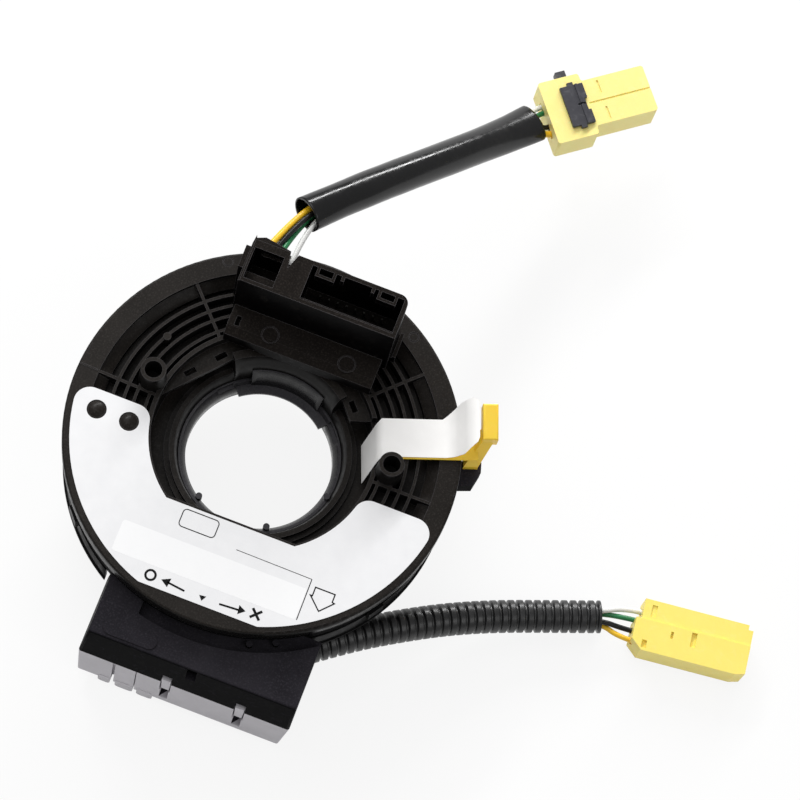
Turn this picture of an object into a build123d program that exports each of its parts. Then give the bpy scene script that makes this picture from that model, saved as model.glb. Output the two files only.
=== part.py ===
from build123d import *
import os
from math import cos, radians, sin, tan

# Steering clock spring: the ring that joins a steering wheel's wiring to the column's.
# Millimetres. +Z points to the steering wheel along the turning axis, the origin is on that axis at
# the lower end of the rotor's sleeve, and the fixed connector block lies towards -Y.

# Rotor deck
rim_top = 20.4
rim_radius = 54.0
rim_width = 6.0
rim_height = 4.5
rim_edge = 0.7
band_width = 3.1
band_high = 1.4
band_low = 2.8
deck_inner_radius = 30.4
deck_wall = 1.2
deck_floor = 1.5
groove_depth = 5.0
rib_wall = 0.8
rib_low = 0.2
rib_radii = (33.0, 36.4, 39.2, 42.3)
radial_rib_angles = (0, 45, 133, 178)
ridge_angle = 178
ridge = (5.0, 0.5, 0.15)
mould_mark_places = ((-27.1, 44.3), (27.8, 43.0))
mould_mark = (1.5, 0.3, 0.15)

# Rotor well, collar and sleeve
well_floor_z = 5.9
well_floor = 1.2
sleeve_radius = 20.3
sleeve_wall = 2.0
sleeve_top = 6.6
sleeve_mouth = 1.1
sleeve_foot_radius = 26.4
sleeve_foot_z = 0.9
sleeve_foot = 1.7
ring_wall = 2.6
ring_top = 10.2
ring_step = 1.4
ring_step_top = 8.4
snug = 0.1
running_gap = 0.5
sleeve_bevel_z = 4.4
sleeve_bevel = 1.3
ledge_radius = 18.2
ledge_height = 1.0
ledge_angles = (48, 129)
cancel_lug_foot = 20.5
cancel_lug_head = 22.0
cancel_lug_angles = (61, 117)
cancel_lug_top = 13.4
collar_span = 78
collar_top = 19.2
collar_slope = 1.8
sleeve_notch_radius = 21.9
sleeve_notch_angles = ((31, 48), (130.5, 143.5))
snap_places = ((20.6, -123), (20.6, -64.5), (21.6, -12))
snap_radius = 0.9
snap_bottom = 4.8
snap_top = 7.6

# Deck details
boss_places = ((-34.0, 5.2), (34.7, 4.2))
boss_top = 27.4
boss_base_radius = 4.2
boss_top_radius = 3.45
boss_hole_radius = 2.4
boss_hole_depth = 9.0
knob_x = -34.6
knob_y = 17.6
knob_radius = 1.1
knob_top = 20.9
dome_x = (-44.6, -35.3)
dome_y = -8.8
dome_radius = 2.2
dome_height = 0.7
dome_post_radius = 4.0
step_plate_distance = 24.8
# Heading of each step and the side its slots sit towards.
step_plates = ((40.5, -1), (139.5, 1))
step_plate_z = 17.0
step_plate = 1.5
step_slot = (3.4, 1.6)
step_slot_places = (-2.0, 7.6)
step_slot_inset = 2.2

# Label
label_thickness = 0.2
label_radius = 52.0
label_lower_chord = -49.2
label_inner_chord = -24.9
label_inner_gap = 0.5
label_left_edge = -3.3
label_right_edge = -5.3
label_corner = 4.4
label_hole_radius = 2.7
panel_inner_chord = -24.2
panel_setback = 4.0
panel_thickness = 2.0

# Case and its back cover
case_radius = 52.6
case_wall = 1.4
case_top = 15.4
case_rim_radius = 53.6
case_rim_height = 2.8
case_rim_slope = 0.6
cover_radius = 52.9
cover_z = 3.4
cover_thickness = 1.5
skirt_wall = 1.2
skirt_bottom = -2.8
skirt_lip = (0.6, 0.8)
cover_hook_angles = (-139.5, -33.5, 35, 90, 145)
cover_hook = (1.2, 5.0, 5.0)

# Fixed connector block, moulded with the case
block_left = -24.7
block_left_foot = -26.5
block_right = 34.3
block_front = -64.5
block_front_foot = -66.3
block_back = -44.0
block_top = 12.4
block_bottom = -4.5
block_round = 0.8
crescent_radius = 57.0
crescent_left = -14.0
crescent_depth = 3.0
block_pocket_wall = 2.2
block_pocket_depth = 11.0
badge_centre = (-14.0, -61.4)
badge_size = (15.0, 4.2)
badge_height = 0.35
peg_places = ((16.3, -51.8), (22.8, -48.9))
peg_radius = 0.9
peg_height = 1.6
vent_x = 4.9
vent_z = (4.4, 12.0)
vent_width = 2.8
vent_depth = 1.2
latch_places = (-1.2, 19.95)
latch_width = 3.1
latch_depth = 2.0
latch_gap = 0.3
latch_window_top = 0.8
latch_tongue = (2.6, 2.2)
latch_tongue_z = (-11.0, -1.5)
latch_pad = (2.4, -17.0)

# Grey connector housing under the block
housing_left_foot = -26.1
housing_right_foot = 32.7
housing_front_foot = -67.5
housing_back = -52.6
housing_bottom = -19.3
housing_round = 0.6
housing_wall = 1.8
socket_floor_z = -8.0
socket_a = (-20.6, 1.6)
socket_b = (5.4, 30.2)
socket_width = 8.4
housing_grooves = ((-16.0, 0.8), (-9.7, 0.3))
housing_groove_depth = 0.6
prong_places = ((-18.3, 3.4), (-12.5, 5.1), (-6.5, 4.5))
prong_bottom = -23.4
prong_depth = 3.4
prong_round = 1.2

# Lock lug on the case
lug_root = 0.6
lug_reach = 7.6
lug_angles = (10.5, 17.9)
# Its first corner is cut back: how far inside the outer radius it starts and turns, and at what angles.
lug_cut = (5.3, 1.8)
lug_cut_angle = 11.2
lug_shoulder_angle = 15.1
lug_top = 13.3
lug_height = 5.0

# Flat cable spiral inside the case
cable_side_room = 1.8
cable_turns = 6
cable_thickness = 0.3
cable_lift = 0.4

# Moving connector block on the deck
upper_left = -20.5
upper_right = 23.6
upper_front = 22.7
wall_front = 31.3
upper_back = 43.8
flange_right = 22.1
flange_top = 26.4
flange_chamfer = 2.4
seat_gap = 0.05
upper_top = 45.0
upper_corner = 2.6
bay_left = -3.8
bay_right = 22.4
bay_wall = 1.2
bay_floor = 28.0
bay_step = (0.8, 1.2)
bay_latch_places = (0.35, 17.85)
bay_latch = (5.4, 2.6, 2.6)
bay_latch_wall = 0.8
bay_clip_places = (5.0, 13.6)
bay_clip = (0.9, 1.4, 3.0)
tower_left = -21.0
tower_right = -10.5
tower_back = 45.4
tower_top = 44.6
tower_wall = 1.1
# The tower's back edge between its right and left corners, and how far back those stand.
tower_back_edge = ((-18.1, 45.4), (-20.4, 44.4), (-20.7, 45.2))
tower_back_corners = (44.2, 42.7)
tower_flange = (1.5, 6.5)
tower_flange_back = 42.5
tower_flange_top = 42.0
tower_ledge_y = 35.6
tower_ledge_z = 41.6
tower_well_y = 41.6
tower_well_z = 32.0
tower_gap = ((-9.8, 39.2), (-10.9, 46.4), (-7.4, 46.4))
stake_places = ((-8.5, 26.5), (13.6, 26.5))
stake_radius = 2.5
stake_ring = 0.35
stake_height = 0.3
flange_slot = (1.3, 2.8)
flange_slot_place = (-18.0, 27.0)
rail_gap = 0.6
rail_wall = 1.0
rail_top = 24.6

# Contacts
pin_size = 0.64
pin_pitch = 2.54
pin_chamfer = 0.15
bay_pin_columns = 8
bay_pin_top = 32.0
housing_pin_length = 7.0
bay_pin_rows = 2

# Shipping strip and its yellow lock tab, placed along and across the strip's own line
strip_heading = 20.5
strip_sides = (-4.2, 6.6)
strip_thickness = 0.3
strip_wall_gap = 0.2
strip_end_gap = 0.1
strip_side_gap = 0.4
strip_fold_length = 9.4
strip_lean = 72
strip_fold_radius = 2.2
strip_lift = 0.1
strip_rise_length = 10.2
# The folded end drifts sideways by this much; the notch in the deck's wall lets it through.
strip_drift = 3.0
strip_drift_lead = 1.4
strip_notch = (1.8, 3.9)
# The outer end widens to one side: how far back from the end, and by how much.
strip_flare = ((10.1, 0), (8.9, 0.9), (5.5, 3.7), (2.4, 4.6), (0, 2.9))
# Its other corner is cut away in the same way.
strip_cut = ((4.7, 0), (1.4, 2.7), (0, 6.6))
strip_curl_radius = 5.0
strip_curl_up = 55
strip_curl_back = 45
strip_climb = 3.5
tab_foot_inset = 3.4
tab_foot_across = -2.8
tab_foot_size = (4.0, 4.2)
tab_foot_height = 2.2
tab_clearance = 0.5
tab_neck_reach = 0.1
tab_neck_across = 1.4
tab_neck_size = (3.2, 4.0)
tab_neck_z = 24.2
tab_handle_inset = 1.4
tab_handle_depth = 4.2
tab_handle_across = (-0.6, 9.2)
tab_handle_z = 22.8
tab_handle_height = 4.4
tab_handle_rise = 1.6
tab_round = 0.6
# Flat tongue under the strip: its length, how far it goes past the foot's middle, and its sides.
tab_tongue_length = 20.7
tab_tongue_lap = 1.4
tab_tongue_sides = (-4.6, 1.2)
tab_tongue_thickness = 0.5

# Lower lead: conduit, wires and connector
conduit_radius = 4.6
conduit_bore = 3.5
outlet_radius = 5.7
outlet_length = 11.0
outlet_reach = 3.0
outlet_fit = 0.1
wire_well = 2.0
conduit_route = (
    (28.0, -44.1, -8.8),
    (39.6, -34.9, -9.3),
    (51.5, -26.6, -11.4),
    (63.6, -18.8, -14.2),
    (76.4, -12.1, -16.5),
    (90.0, -6.5, -17.4),
    (104.0, -1.1, -17.4),
)
wire_radius = 0.75
# Each wire: place across the conduit, lift in it, place across the plug.
lower_wires = {
    "white": (1.3, 1.1, 4.4),
    "green": (1.3, -1.1, 1.7),
    "black": (-1.3, 1.1, -1.6),
    "yellow": (-1.3, -1.1, -4.4),
}
conduit_heading = 30.0
plug_gap = 11.2
plug_heading = 6.5
plug_length = 31.4
plug_width = 15.0
plug_height = 9.2
plug_tail = 1.6
plug_tail_edge = 1.5
plug_step = 0.5
plug_corner = 0.8
plug_wall = 1.3
plug_partition = 1.2
plug_cavity_depth = 12.0
plug_lip = 1.4
plug_seat = 2.0
plug_lead_in = 3.0
plug_hole_fit = 0.3
plug_pin_length = 8.0
# Shallow slots in the plug's top: middle along and across, size along and across.
plug_slots = ((3.0, 4.4, 1.5, 3.4), (2.0, -5.6, 1.4, 2.2), (15.4, -1.0, 1.5, 4.2), (9.2, -1.2, 0.7, 2.0))
plug_slot_depth = 1.0

# Upper lead: wires, sleeve and connector
heavy_wire_radius = 0.95
upper_route = (
    (-13.6, 44.6, 41.8),
    (-10.8, 57.0, 41.2),
    (-1.6, 68.8, 37.2),
    (8.2, 82.0, 30.0),
    (18.4, 96.2, 20.8),
    (28.4, 110.8, 10.8),
    (33.2, 117.9, 6.4),
    (37.2, 123.8, 3.3),
)
upper_plug_place = (40.4, 126.9, 1.6)
upper_plug_heading = 38.0
# Each wire: place across the tower, angle round the bundle, place across the sleeve's
# end and place across the plug.
upper_wires = {
    "yellow": (-3.0, 0, -3.0, -4.7),
    "black": (-1.1, 90, -1.0, -2.4),
    "green": (0.6, 270, 0.9, 2.4),
    "white": (2.2, 180, 2.7, 4.4),
}
bundle_radius = 1.7
upper_plug_seat = 3.2
upper_lead_in = 1.0
bundle_heading = 54.0
bundle_twist = 180
tube_radius = 4.9
tube_bore = 4.1
wire_exit_fit = 0.35
upper_plug_length = 31.4
upper_plug_width = 19.4
upper_plug_front_width = 14.4
upper_plug_shoulder = 12.4
upper_plug_height = 9.6
upper_plug_seam = (0.5, 0.4)
upper_plug_slots = ((17.0, 4.2, 0.6, 4.0), (17.0, -4.2, 0.6, 4.0))
lock_start = 5.4
lock_length = 6.1
lock_width = 12.6
lock_thickness = 1.0
lock_lift = 0.15
lock_gap = 0.2
lock_travel = 1.6
# Ears and teeth of the lock's outline: start along, size along, middle across, size across.
lock_outline = ((2.4, 1.8, 0, 14.4), (5.0, 1.9, 3.9, 4.8), (5.0, 1.9, -4.2, 4.2))
lock_stem_start = 0.9
lock_stem_length = 3.0
lock_stem_width = 8.0
lock_stem_depth = 2.6
lock_arm_height = 1.3
lock_finger_reach = 2.3
lock_finger_height = 3.0
lock_ridge = 0.4
lock_ridge_start = 4.4
lock_slot = (2.2, 0.5, 0.5)

os.makedirs("parts", exist_ok=True)

rib_top = rim_top - rib_low
deck_floor_top = rim_top - groove_depth
deck_underside = deck_floor_top - deck_floor
rim_bottom = rim_top - rim_height
rim_inner = rim_radius - rim_width
band_inner = rim_inner - band_width
well_floor_top = well_floor_z + well_floor
sleeve_outer = sleeve_radius + sleeve_wall
well_hole = sleeve_outer + snug
cover_top = cover_z + cover_thickness
strip_frame = Plane(origin=(0, 0, 0), x_dir=(cos(radians(strip_heading)), sin(radians(strip_heading)), 0),
                    z_dir=(0, 0, 1))
lug_inner_radius = case_radius - lug_root
lug_outer_radius = case_radius + lug_reach
tab_foot_place = (lug_outer_radius - tab_foot_inset, tab_foot_across)
tab_neck_place = (lug_outer_radius + tab_neck_reach, tab_neck_across)
tab_handle_near = lug_outer_radius - tab_handle_inset
strip_inner = deck_inner_radius + strip_wall_gap
strip_drift_start = strip_inner + strip_drift_lead
strip_end = tab_handle_near - strip_end_gap
cable_inner_radius = deck_inner_radius + deck_wall + cable_side_room
cable_outer_radius = case_radius - case_wall - cable_side_room
cable_pitch = (cable_outer_radius - cable_inner_radius) / cable_turns
cable_width = deck_underside - cover_top - 2 * cable_lift
outlet_plane = Plane(origin=conduit_route[0], z_dir=Vector(*conduit_route[1]) - Vector(*conduit_route[0]))


def save(piece, name):
    # One solid file for each sub-part, named as its node.
    piece.label = name
    export_step(piece, f"parts/{name}.step")


def heading_point(distance, angle):
    # A plan point at a distance from the turning axis, its angle counted from +X.
    return (distance * cos(radians(angle)), distance * sin(radians(angle)))


def route_radii(points):
    # The largest arc each corner's two runs allow.
    places = [Vector(*point) for point in points]
    radii = []
    for before, corner, after in zip(places, places[1:], places[2:]):
        turn = (corner - before).get_angle(after - corner)
        shorter = min((corner - before).length, (after - corner).length)
        radii.append(0.45 * shorter / tan(radians(turn) / 2))
    return radii


def make_lead(name, points, radius, bore=0):
    # A round lead along straight runs joined by tangent arcs.
    radii = route_radii(points)
    start = Vector(*points[0])
    section_plane = Plane(origin=start, z_dir=Vector(*points[1]) - start)
    with BuildPart() as lead:
        with BuildLine() as path:
            FilletPolyline(*points, radius=radii)
        with BuildSketch(section_plane):
            Circle(radius)
            if bore:
                Circle(bore, mode=Mode.SUBTRACT)
        sweep(path=path.wires()[0])
    length = path.wires()[0].length
    section = lead.part.volume / length
    print(name, "length", round(length, 1), "section", round(section, 3),
          "arc radii", [round(value, 1) for value in radii])
    save(lead.part, name)
    return lead.part


# ---------------------------------------------------------------- rotor deck
# One moulding: rim, sloping band, ribbed floor, the wall of the well and the ring round the sleeve.
deck_section = (
    (well_hole, well_floor_z),
    (deck_inner_radius + deck_wall, well_floor_z),
    (deck_inner_radius + deck_wall, deck_underside),
    (case_radius - case_wall - 2 * running_gap, deck_underside),
    (case_radius - case_wall - 2 * running_gap, rim_bottom),
    (rim_radius, rim_bottom),
    (rim_radius, rim_top),
    (rim_inner, rim_top),
    (rim_inner, rim_top - band_high),
    (band_inner, rim_top - band_low),
    (band_inner, deck_floor_top),
    (deck_inner_radius + deck_wall, deck_floor_top),
    (deck_inner_radius + deck_wall, rim_top),
    (deck_inner_radius, rim_top),
    (deck_inner_radius, well_floor_top),
    (well_hole + ring_wall + ring_step, well_floor_top),
    (well_hole + ring_wall + ring_step, ring_step_top),
    (well_hole + ring_wall, ring_step_top),
    (well_hole + ring_wall, ring_top),
    (well_hole + sleeve_mouth, ring_top),
    (well_hole, sleeve_top + snug),
)
collar_section = (
    (well_hole, sleeve_top),
    (well_hole, cancel_lug_top),
    (well_hole + collar_slope, collar_top),
    (well_hole + ring_wall + ring_step, collar_top),
    (well_hole + ring_wall + ring_step, well_floor_z),
    (well_hole + ring_wall, well_floor_z),
)
with BuildPart() as rotor_disc:
    with BuildSketch(Plane.XZ):
        with BuildLine():
            Polyline(*deck_section, close=True)
        make_face()
    revolve(axis=Axis.Z)
    outer_edges = rotor_disc.edges().filter_by(GeomType.CIRCLE).filter_by(
        lambda edge: abs(edge.radius - rim_radius) < 0.01)
    fillet(outer_edges.sort_by(Axis.Z)[-1], rim_edge)
    # Concentric ribs standing in the deck's groove.
    with BuildSketch(Plane.XY.offset(deck_floor_top)):
        for rib_radius in reversed(rib_radii):
            Circle(rib_radius + rib_wall / 2)
            Circle(rib_radius - rib_wall / 2, mode=Mode.SUBTRACT)
    extrude(amount=rib_top - deck_floor_top)
    # Radial ribs tie them together.
    rib_length = rim_inner - deck_inner_radius
    with BuildSketch(Plane.XY.offset(deck_floor_top)):
        for angle in radial_rib_angles:
            with Locations(Location((*heading_point(deck_inner_radius + rib_length / 2, angle), 0), angle)):
                Rectangle(rib_length, rib_wall)
    extrude(amount=rib_top - deck_floor_top)
    # Closed panel that carries the label, with a straight inner edge.
    panel_top_edge = label_right_edge - panel_setback
    with BuildSketch(Plane.XY.offset(rim_top - panel_thickness)):
        Circle(rim_inner)
        Circle(deck_inner_radius, mode=Mode.SUBTRACT)
        with Locations((0, panel_top_edge)):
            Rectangle(2 * rim_radius, rim_radius, align=(Align.CENTER, Align.MAX), mode=Mode.INTERSECT)
    extrude(amount=panel_thickness)
    with BuildSketch(Plane.XY.offset(rim_top - panel_thickness)):
        Circle(deck_inner_radius)
        with Locations((0, panel_inner_chord)):
            Rectangle(2 * rim_radius, rim_radius, align=(Align.CENTER, Align.MAX), mode=Mode.INTERSECT)
    extrude(amount=panel_thickness)
    # Steps beside the moving connector block, each with two small hook slots.
    for angle, side in step_plates:
        centre_line = Plane(origin=(0, 0, step_plate_z - step_plate), x_dir=(*heading_point(1, angle), 0),
                            z_dir=(0, 0, 1))
        with BuildSketch(centre_line):
            Circle(deck_inner_radius + deck_wall / 2)
            with Locations((step_plate_distance, 0)):
                Rectangle(rim_radius, 2 * rim_radius, align=(Align.MIN, Align.CENTER), mode=Mode.INTERSECT)
            # The shipping strip folds down beside it.
            with Locations(Location((0, 0, 0), strip_heading - angle)):
                Rectangle(rim_radius, strip_sides[1] + strip_side_gap, align=(Align.MIN, Align.MIN),
                          mode=Mode.SUBTRACT)
                Rectangle(rim_radius, rim_radius, align=(Align.MIN, Align.MAX), mode=Mode.SUBTRACT)
            with Locations(*[(step_plate_distance + step_slot_inset, side * place)
                             for place in step_slot_places]):
                Rectangle(step_slot[1], step_slot[0], mode=Mode.SUBTRACT)
        extrude(amount=step_plate)
    # Raised collar under the moving connector block.
    collar_start = Plane.XZ.rotated((0, 0, 90 - collar_span / 2))
    with BuildSketch(collar_start):
        with BuildLine():
            Polyline(*collar_section, close=True)
        make_face()
    revolve(axis=Axis.Z, revolution_arc=collar_span)
    # Notch in the well's wall where the shipping strip folds down.
    with BuildSketch(strip_frame.offset(rim_top)):
        notch_length, notch_depth = strip_notch
        notch_low = strip_sides[0] - strip_drift
        with Locations((deck_inner_radius + deck_wall - notch_length - strip_side_gap, notch_low)):
            Rectangle(notch_length + 2 * strip_side_gap, strip_sides[1] + strip_side_gap - notch_low,
                      align=(Align.MIN, Align.MIN))
    extrude(amount=-notch_depth, mode=Mode.SUBTRACT)
    # Fine ridge across the rim and the round mould marks beside the moving connector block.
    ridge_length, ridge_width, ridge_height = ridge
    with BuildSketch(Plane.XY.offset(rim_top)):
        ridge_middle = heading_point(rim_inner + rim_width / 2, ridge_angle)
        with Locations(Location((*ridge_middle, 0), ridge_angle)):
            Rectangle(ridge_length, ridge_width)
    extrude(amount=ridge_height)
    mark_radius, mark_line, mark_depth = mould_mark
    with BuildSketch(Plane.XY.offset(rim_top)):
        with Locations(*mould_mark_places):
            Circle(mark_radius)
            Circle(mark_radius - mark_line, mode=Mode.SUBTRACT)
    extrude(amount=-mark_depth, mode=Mode.SUBTRACT)
    # Drive posts, the knob on a rib and the domes seen through the label.
    post_foot = deck_floor_top - deck_floor / 2
    with Locations(*[(x, y, post_foot) for x, y in boss_places]):
        Cone(boss_base_radius, boss_top_radius, boss_top - post_foot,
             align=(Align.CENTER, Align.CENTER, Align.MIN))
    with Locations(*[(x, y, boss_top) for x, y in boss_places]):
        Cylinder(boss_hole_radius, boss_hole_depth, align=(Align.CENTER, Align.CENTER, Align.MAX),
                 mode=Mode.SUBTRACT)
    with Locations((knob_x, knob_y, deck_floor_top)):
        Cylinder(knob_radius, knob_top - deck_floor_top, align=(Align.CENTER, Align.CENTER, Align.MIN))
    dome_ball = (dome_radius ** 2 + dome_height ** 2) / (2 * dome_height)
    with Locations(*[(x, dome_y, deck_floor_top) for x in dome_x]):
        Cylinder(dome_post_radius, rim_top - deck_floor_top, align=(Align.CENTER, Align.CENTER, Align.MIN))
    with BuildSketch(Plane.XZ) as dome_section:
        with BuildLine():
            CenterArc((0, dome_height - dome_ball), dome_ball, 0, 90)
            Line((0, dome_height), (0, dome_height - dome_ball))
            Line((0, dome_height - dome_ball), (dome_ball, dome_height - dome_ball))
        make_face()
        Rectangle(2 * dome_radius, dome_height, align=(Align.CENTER, Align.MIN), mode=Mode.INTERSECT)
    dome = revolve(dome_section.sketch, axis=Axis.Z, mode=Mode.PRIVATE)
    with Locations(*[(x, dome_y, rim_top) for x in dome_x]):
        add(dome)
save(rotor_disc.part, "rotor_disc")

# ---------------------------------------------------------------- rotor sleeve
# Slides up through the back cover and snaps into the deck's ring. Its foot holds the case and cover.
sleeve_section = (
    (sleeve_radius, 0),
    (sleeve_outer, 0),
    (sleeve_outer, sleeve_foot_z),
    (sleeve_foot_radius, sleeve_foot_z),
    (sleeve_foot_radius, sleeve_foot_z + sleeve_foot),
    (sleeve_outer, sleeve_foot_z + sleeve_foot),
    (sleeve_outer, sleeve_top),
    (sleeve_radius + sleeve_bevel, sleeve_top),
    (sleeve_radius, sleeve_bevel_z),
)
ledge_top = sleeve_bevel_z + ledge_height
ledge_section = (
    (ledge_radius, sleeve_bevel_z),
    (sleeve_outer, sleeve_bevel_z),
    (sleeve_outer, ledge_top),
    (ledge_radius, ledge_top),
)
lug_section = (
    (cancel_lug_foot, ledge_top),
    (sleeve_outer, ledge_top),
    (sleeve_outer, cancel_lug_top),
    (cancel_lug_head, cancel_lug_top),
)
notch_section = (
    (ledge_radius, ledge_top),
    (sleeve_notch_radius, ledge_top),
    (sleeve_notch_radius, cancel_lug_top),
    (ledge_radius, cancel_lug_top),
)
with BuildPart() as rotor_hub:
    with BuildSketch(Plane.XZ):
        with BuildLine():
            Polyline(*sleeve_section, close=True)
        make_face()
    revolve(axis=Axis.Z)
    # Sloping lug on the far side that cancels the turn signal, over a ledge inside the sleeve,
    # with a notch on either side of it.
    turned_sections = (
        (ledge_section, ledge_angles, Mode.ADD),
        (lug_section, cancel_lug_angles, Mode.ADD),
        (notch_section, sleeve_notch_angles[0], Mode.SUBTRACT),
        (notch_section, sleeve_notch_angles[1], Mode.SUBTRACT),
    )
    for points, (start, end), mode in turned_sections:
        with BuildSketch(Plane.XZ.rotated((0, 0, start))):
            with BuildLine():
                Polyline(*points, close=True)
            make_face()
        revolve(axis=Axis.Z, revolution_arc=end - start, mode=mode)
    # Snap noses round the mouth.
    with Locations(*[(*heading_point(radius, angle), snap_bottom) for radius, angle in snap_places]):
        Cylinder(snap_radius, snap_top - snap_bottom, align=(Align.CENTER, Align.CENTER, Align.MIN))
save(rotor_hub.part, "rotor_hub")

# ---------------------------------------------------------------- label
with BuildPart() as centre_label:
    with BuildSketch(Plane.XY.offset(rim_top)) as label_outline:
        label_inner_radius = deck_inner_radius + label_inner_gap
        Circle(label_radius)
        Circle(label_inner_radius, mode=Mode.SUBTRACT)
        with Locations((0, label_left_edge)):
            Rectangle(2 * rim_radius, 2 * rim_radius, align=(Align.MAX, Align.MIN), mode=Mode.SUBTRACT)
        with Locations((0, label_right_edge)):
            Rectangle(2 * rim_radius, 2 * rim_radius, align=(Align.MIN, Align.MIN), mode=Mode.SUBTRACT)
        with Locations((0, label_inner_chord)):
            Rectangle(2 * (label_inner_radius ** 2 - label_inner_chord ** 2) ** 0.5,
                      label_inner_radius + label_inner_chord + 1, align=(Align.CENTER, Align.MAX))
        with Locations((0, label_lower_chord)):
            Rectangle(2 * rim_radius, rim_radius, align=(Align.CENTER, Align.MAX), mode=Mode.SUBTRACT)
        end_corners = label_outline.vertices().filter_by(lambda corner: corner.Y > label_right_edge - 0.01)
        fillet(end_corners, label_corner)
        with Locations(*[(x, dome_y) for x in dome_x]):
            Circle(label_hole_radius, mode=Mode.SUBTRACT)
    extrude(amount=label_thickness)
save(centre_label.part, "centre_label")

# ---------------------------------------------------------------- case with the fixed connector block
case_section = (
    (case_radius - case_wall, cover_top),
    (case_radius, cover_top),
    (case_radius, case_top - case_rim_height),
    (case_rim_radius, case_top - case_rim_height + case_rim_slope),
    (case_rim_radius, case_top),
    (case_radius - case_wall, case_top),
)
with BuildPart() as stator_case:
    # Connector block, open towards the grey housing; its front and left faces lean out downwards.
    with BuildSketch(Plane.YZ):
        with BuildLine():
            Polyline((block_back, block_bottom), (block_front_foot, block_bottom), (block_front, block_top),
                     (block_back, block_top), close=True)
        make_face()
    extrude(amount=rim_radius, both=True)
    with BuildSketch(Plane.XZ):
        with BuildLine():
            Polyline((block_left_foot, block_bottom), (block_right, block_bottom), (block_right, block_top),
                     (block_left, block_top), close=True)
        make_face()
    extrude(amount=2 * rim_radius, mode=Mode.INTERSECT)
    top_front = stator_case.edges().filter_by(Axis.X).group_by(Axis.Z)[-1].sort_by(Axis.Y)[0]
    front_corners = stator_case.edges().filter_by(
        lambda edge: abs(edge.center().Z - (block_top + block_bottom) / 2) < 0.1).sort_by(Axis.Y)[:2]
    fillet([*front_corners, top_front], block_round)
    with BuildSketch(Plane.XY.offset(block_bottom)):
        Circle(case_radius - case_wall / 2)
    extrude(amount=block_top - block_bottom, mode=Mode.SUBTRACT)
    with BuildSketch(Plane.XY.offset(block_bottom)):
        pocket_width = block_right - block_left - 2 * block_pocket_wall
        pocket_length = housing_back - housing_wall - block_front - block_pocket_wall
        with Locations(((block_left + block_right) / 2, block_front + block_pocket_wall)):
            Rectangle(pocket_width, pocket_length, align=(Align.CENTER, Align.MIN))
    extrude(amount=block_pocket_depth, mode=Mode.SUBTRACT)
    # Sunken crescent beside the deck's rim.
    with BuildSketch(Plane.XY.offset(block_top)):
        Circle(crescent_radius)
        with Locations((crescent_left, 0)):
            Rectangle(rim_radius, 2 * rim_radius, align=(Align.MIN, Align.MAX), mode=Mode.INTERSECT)
    extrude(amount=-crescent_depth, mode=Mode.SUBTRACT)
    # Ring wall with its rim.
    with BuildSketch(Plane.XZ):
        with BuildLine():
            Polyline(*case_section, close=True)
        make_face()
    revolve(axis=Axis.Z)
    with Locations(*[(x, y, block_top - crescent_depth) for x, y in peg_places]):
        Cylinder(peg_radius, peg_height, align=(Align.CENTER, Align.CENTER, Align.MIN))
    # Raised blank pad, the small vent and the lintels over the housing's latches.
    with BuildSketch(Plane.XY.offset(block_top)):
        with Locations(badge_centre):
            SlotOverall(*badge_size)
    extrude(amount=badge_height)
    vent_low, vent_high = vent_z
    with Locations((vent_x, block_front + vent_depth, vent_low)):
        Box(vent_width, rim_radius, vent_high - vent_low, align=(Align.CENTER, Align.MAX, Align.MIN),
            mode=Mode.SUBTRACT)
    for x in latch_places:
        with Locations((x, block_front_foot + latch_depth + latch_gap, block_bottom)):
            Box(latch_width, rim_radius, latch_window_top - block_bottom,
                align=(Align.CENTER, Align.MAX, Align.MIN), mode=Mode.SUBTRACT)
    # Outlet for the lower lead.
    with BuildSketch(outlet_plane.offset(outlet_reach)):
        Circle(outlet_radius)
    extrude(amount=-outlet_length)
    with BuildSketch(outlet_plane.offset(outlet_reach)):
        Circle(conduit_radius + outlet_fit)
    extrude(amount=-outlet_reach, mode=Mode.SUBTRACT)
    with BuildSketch(outlet_plane):
        Circle(conduit_bore)
    extrude(amount=-wire_well, mode=Mode.SUBTRACT)
    # Lug that the lock tab stands over.
    lug_first, lug_last = lug_angles
    lug_outline = ((lug_inner_radius, lug_first), (lug_outer_radius - lug_cut[0], lug_first),
                   (lug_outer_radius - lug_cut[1], lug_cut_angle), (lug_outer_radius, lug_shoulder_angle),
                   (lug_outer_radius, lug_last), (lug_inner_radius, lug_last))
    with BuildSketch(Plane.XY.offset(lug_top - lug_height)):
        with BuildLine():
            Polyline(*[heading_point(radius, angle) for radius, angle in lug_outline], close=True)
        make_face()
    extrude(amount=lug_height)
save(stator_case.part, "stator_case")

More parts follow.
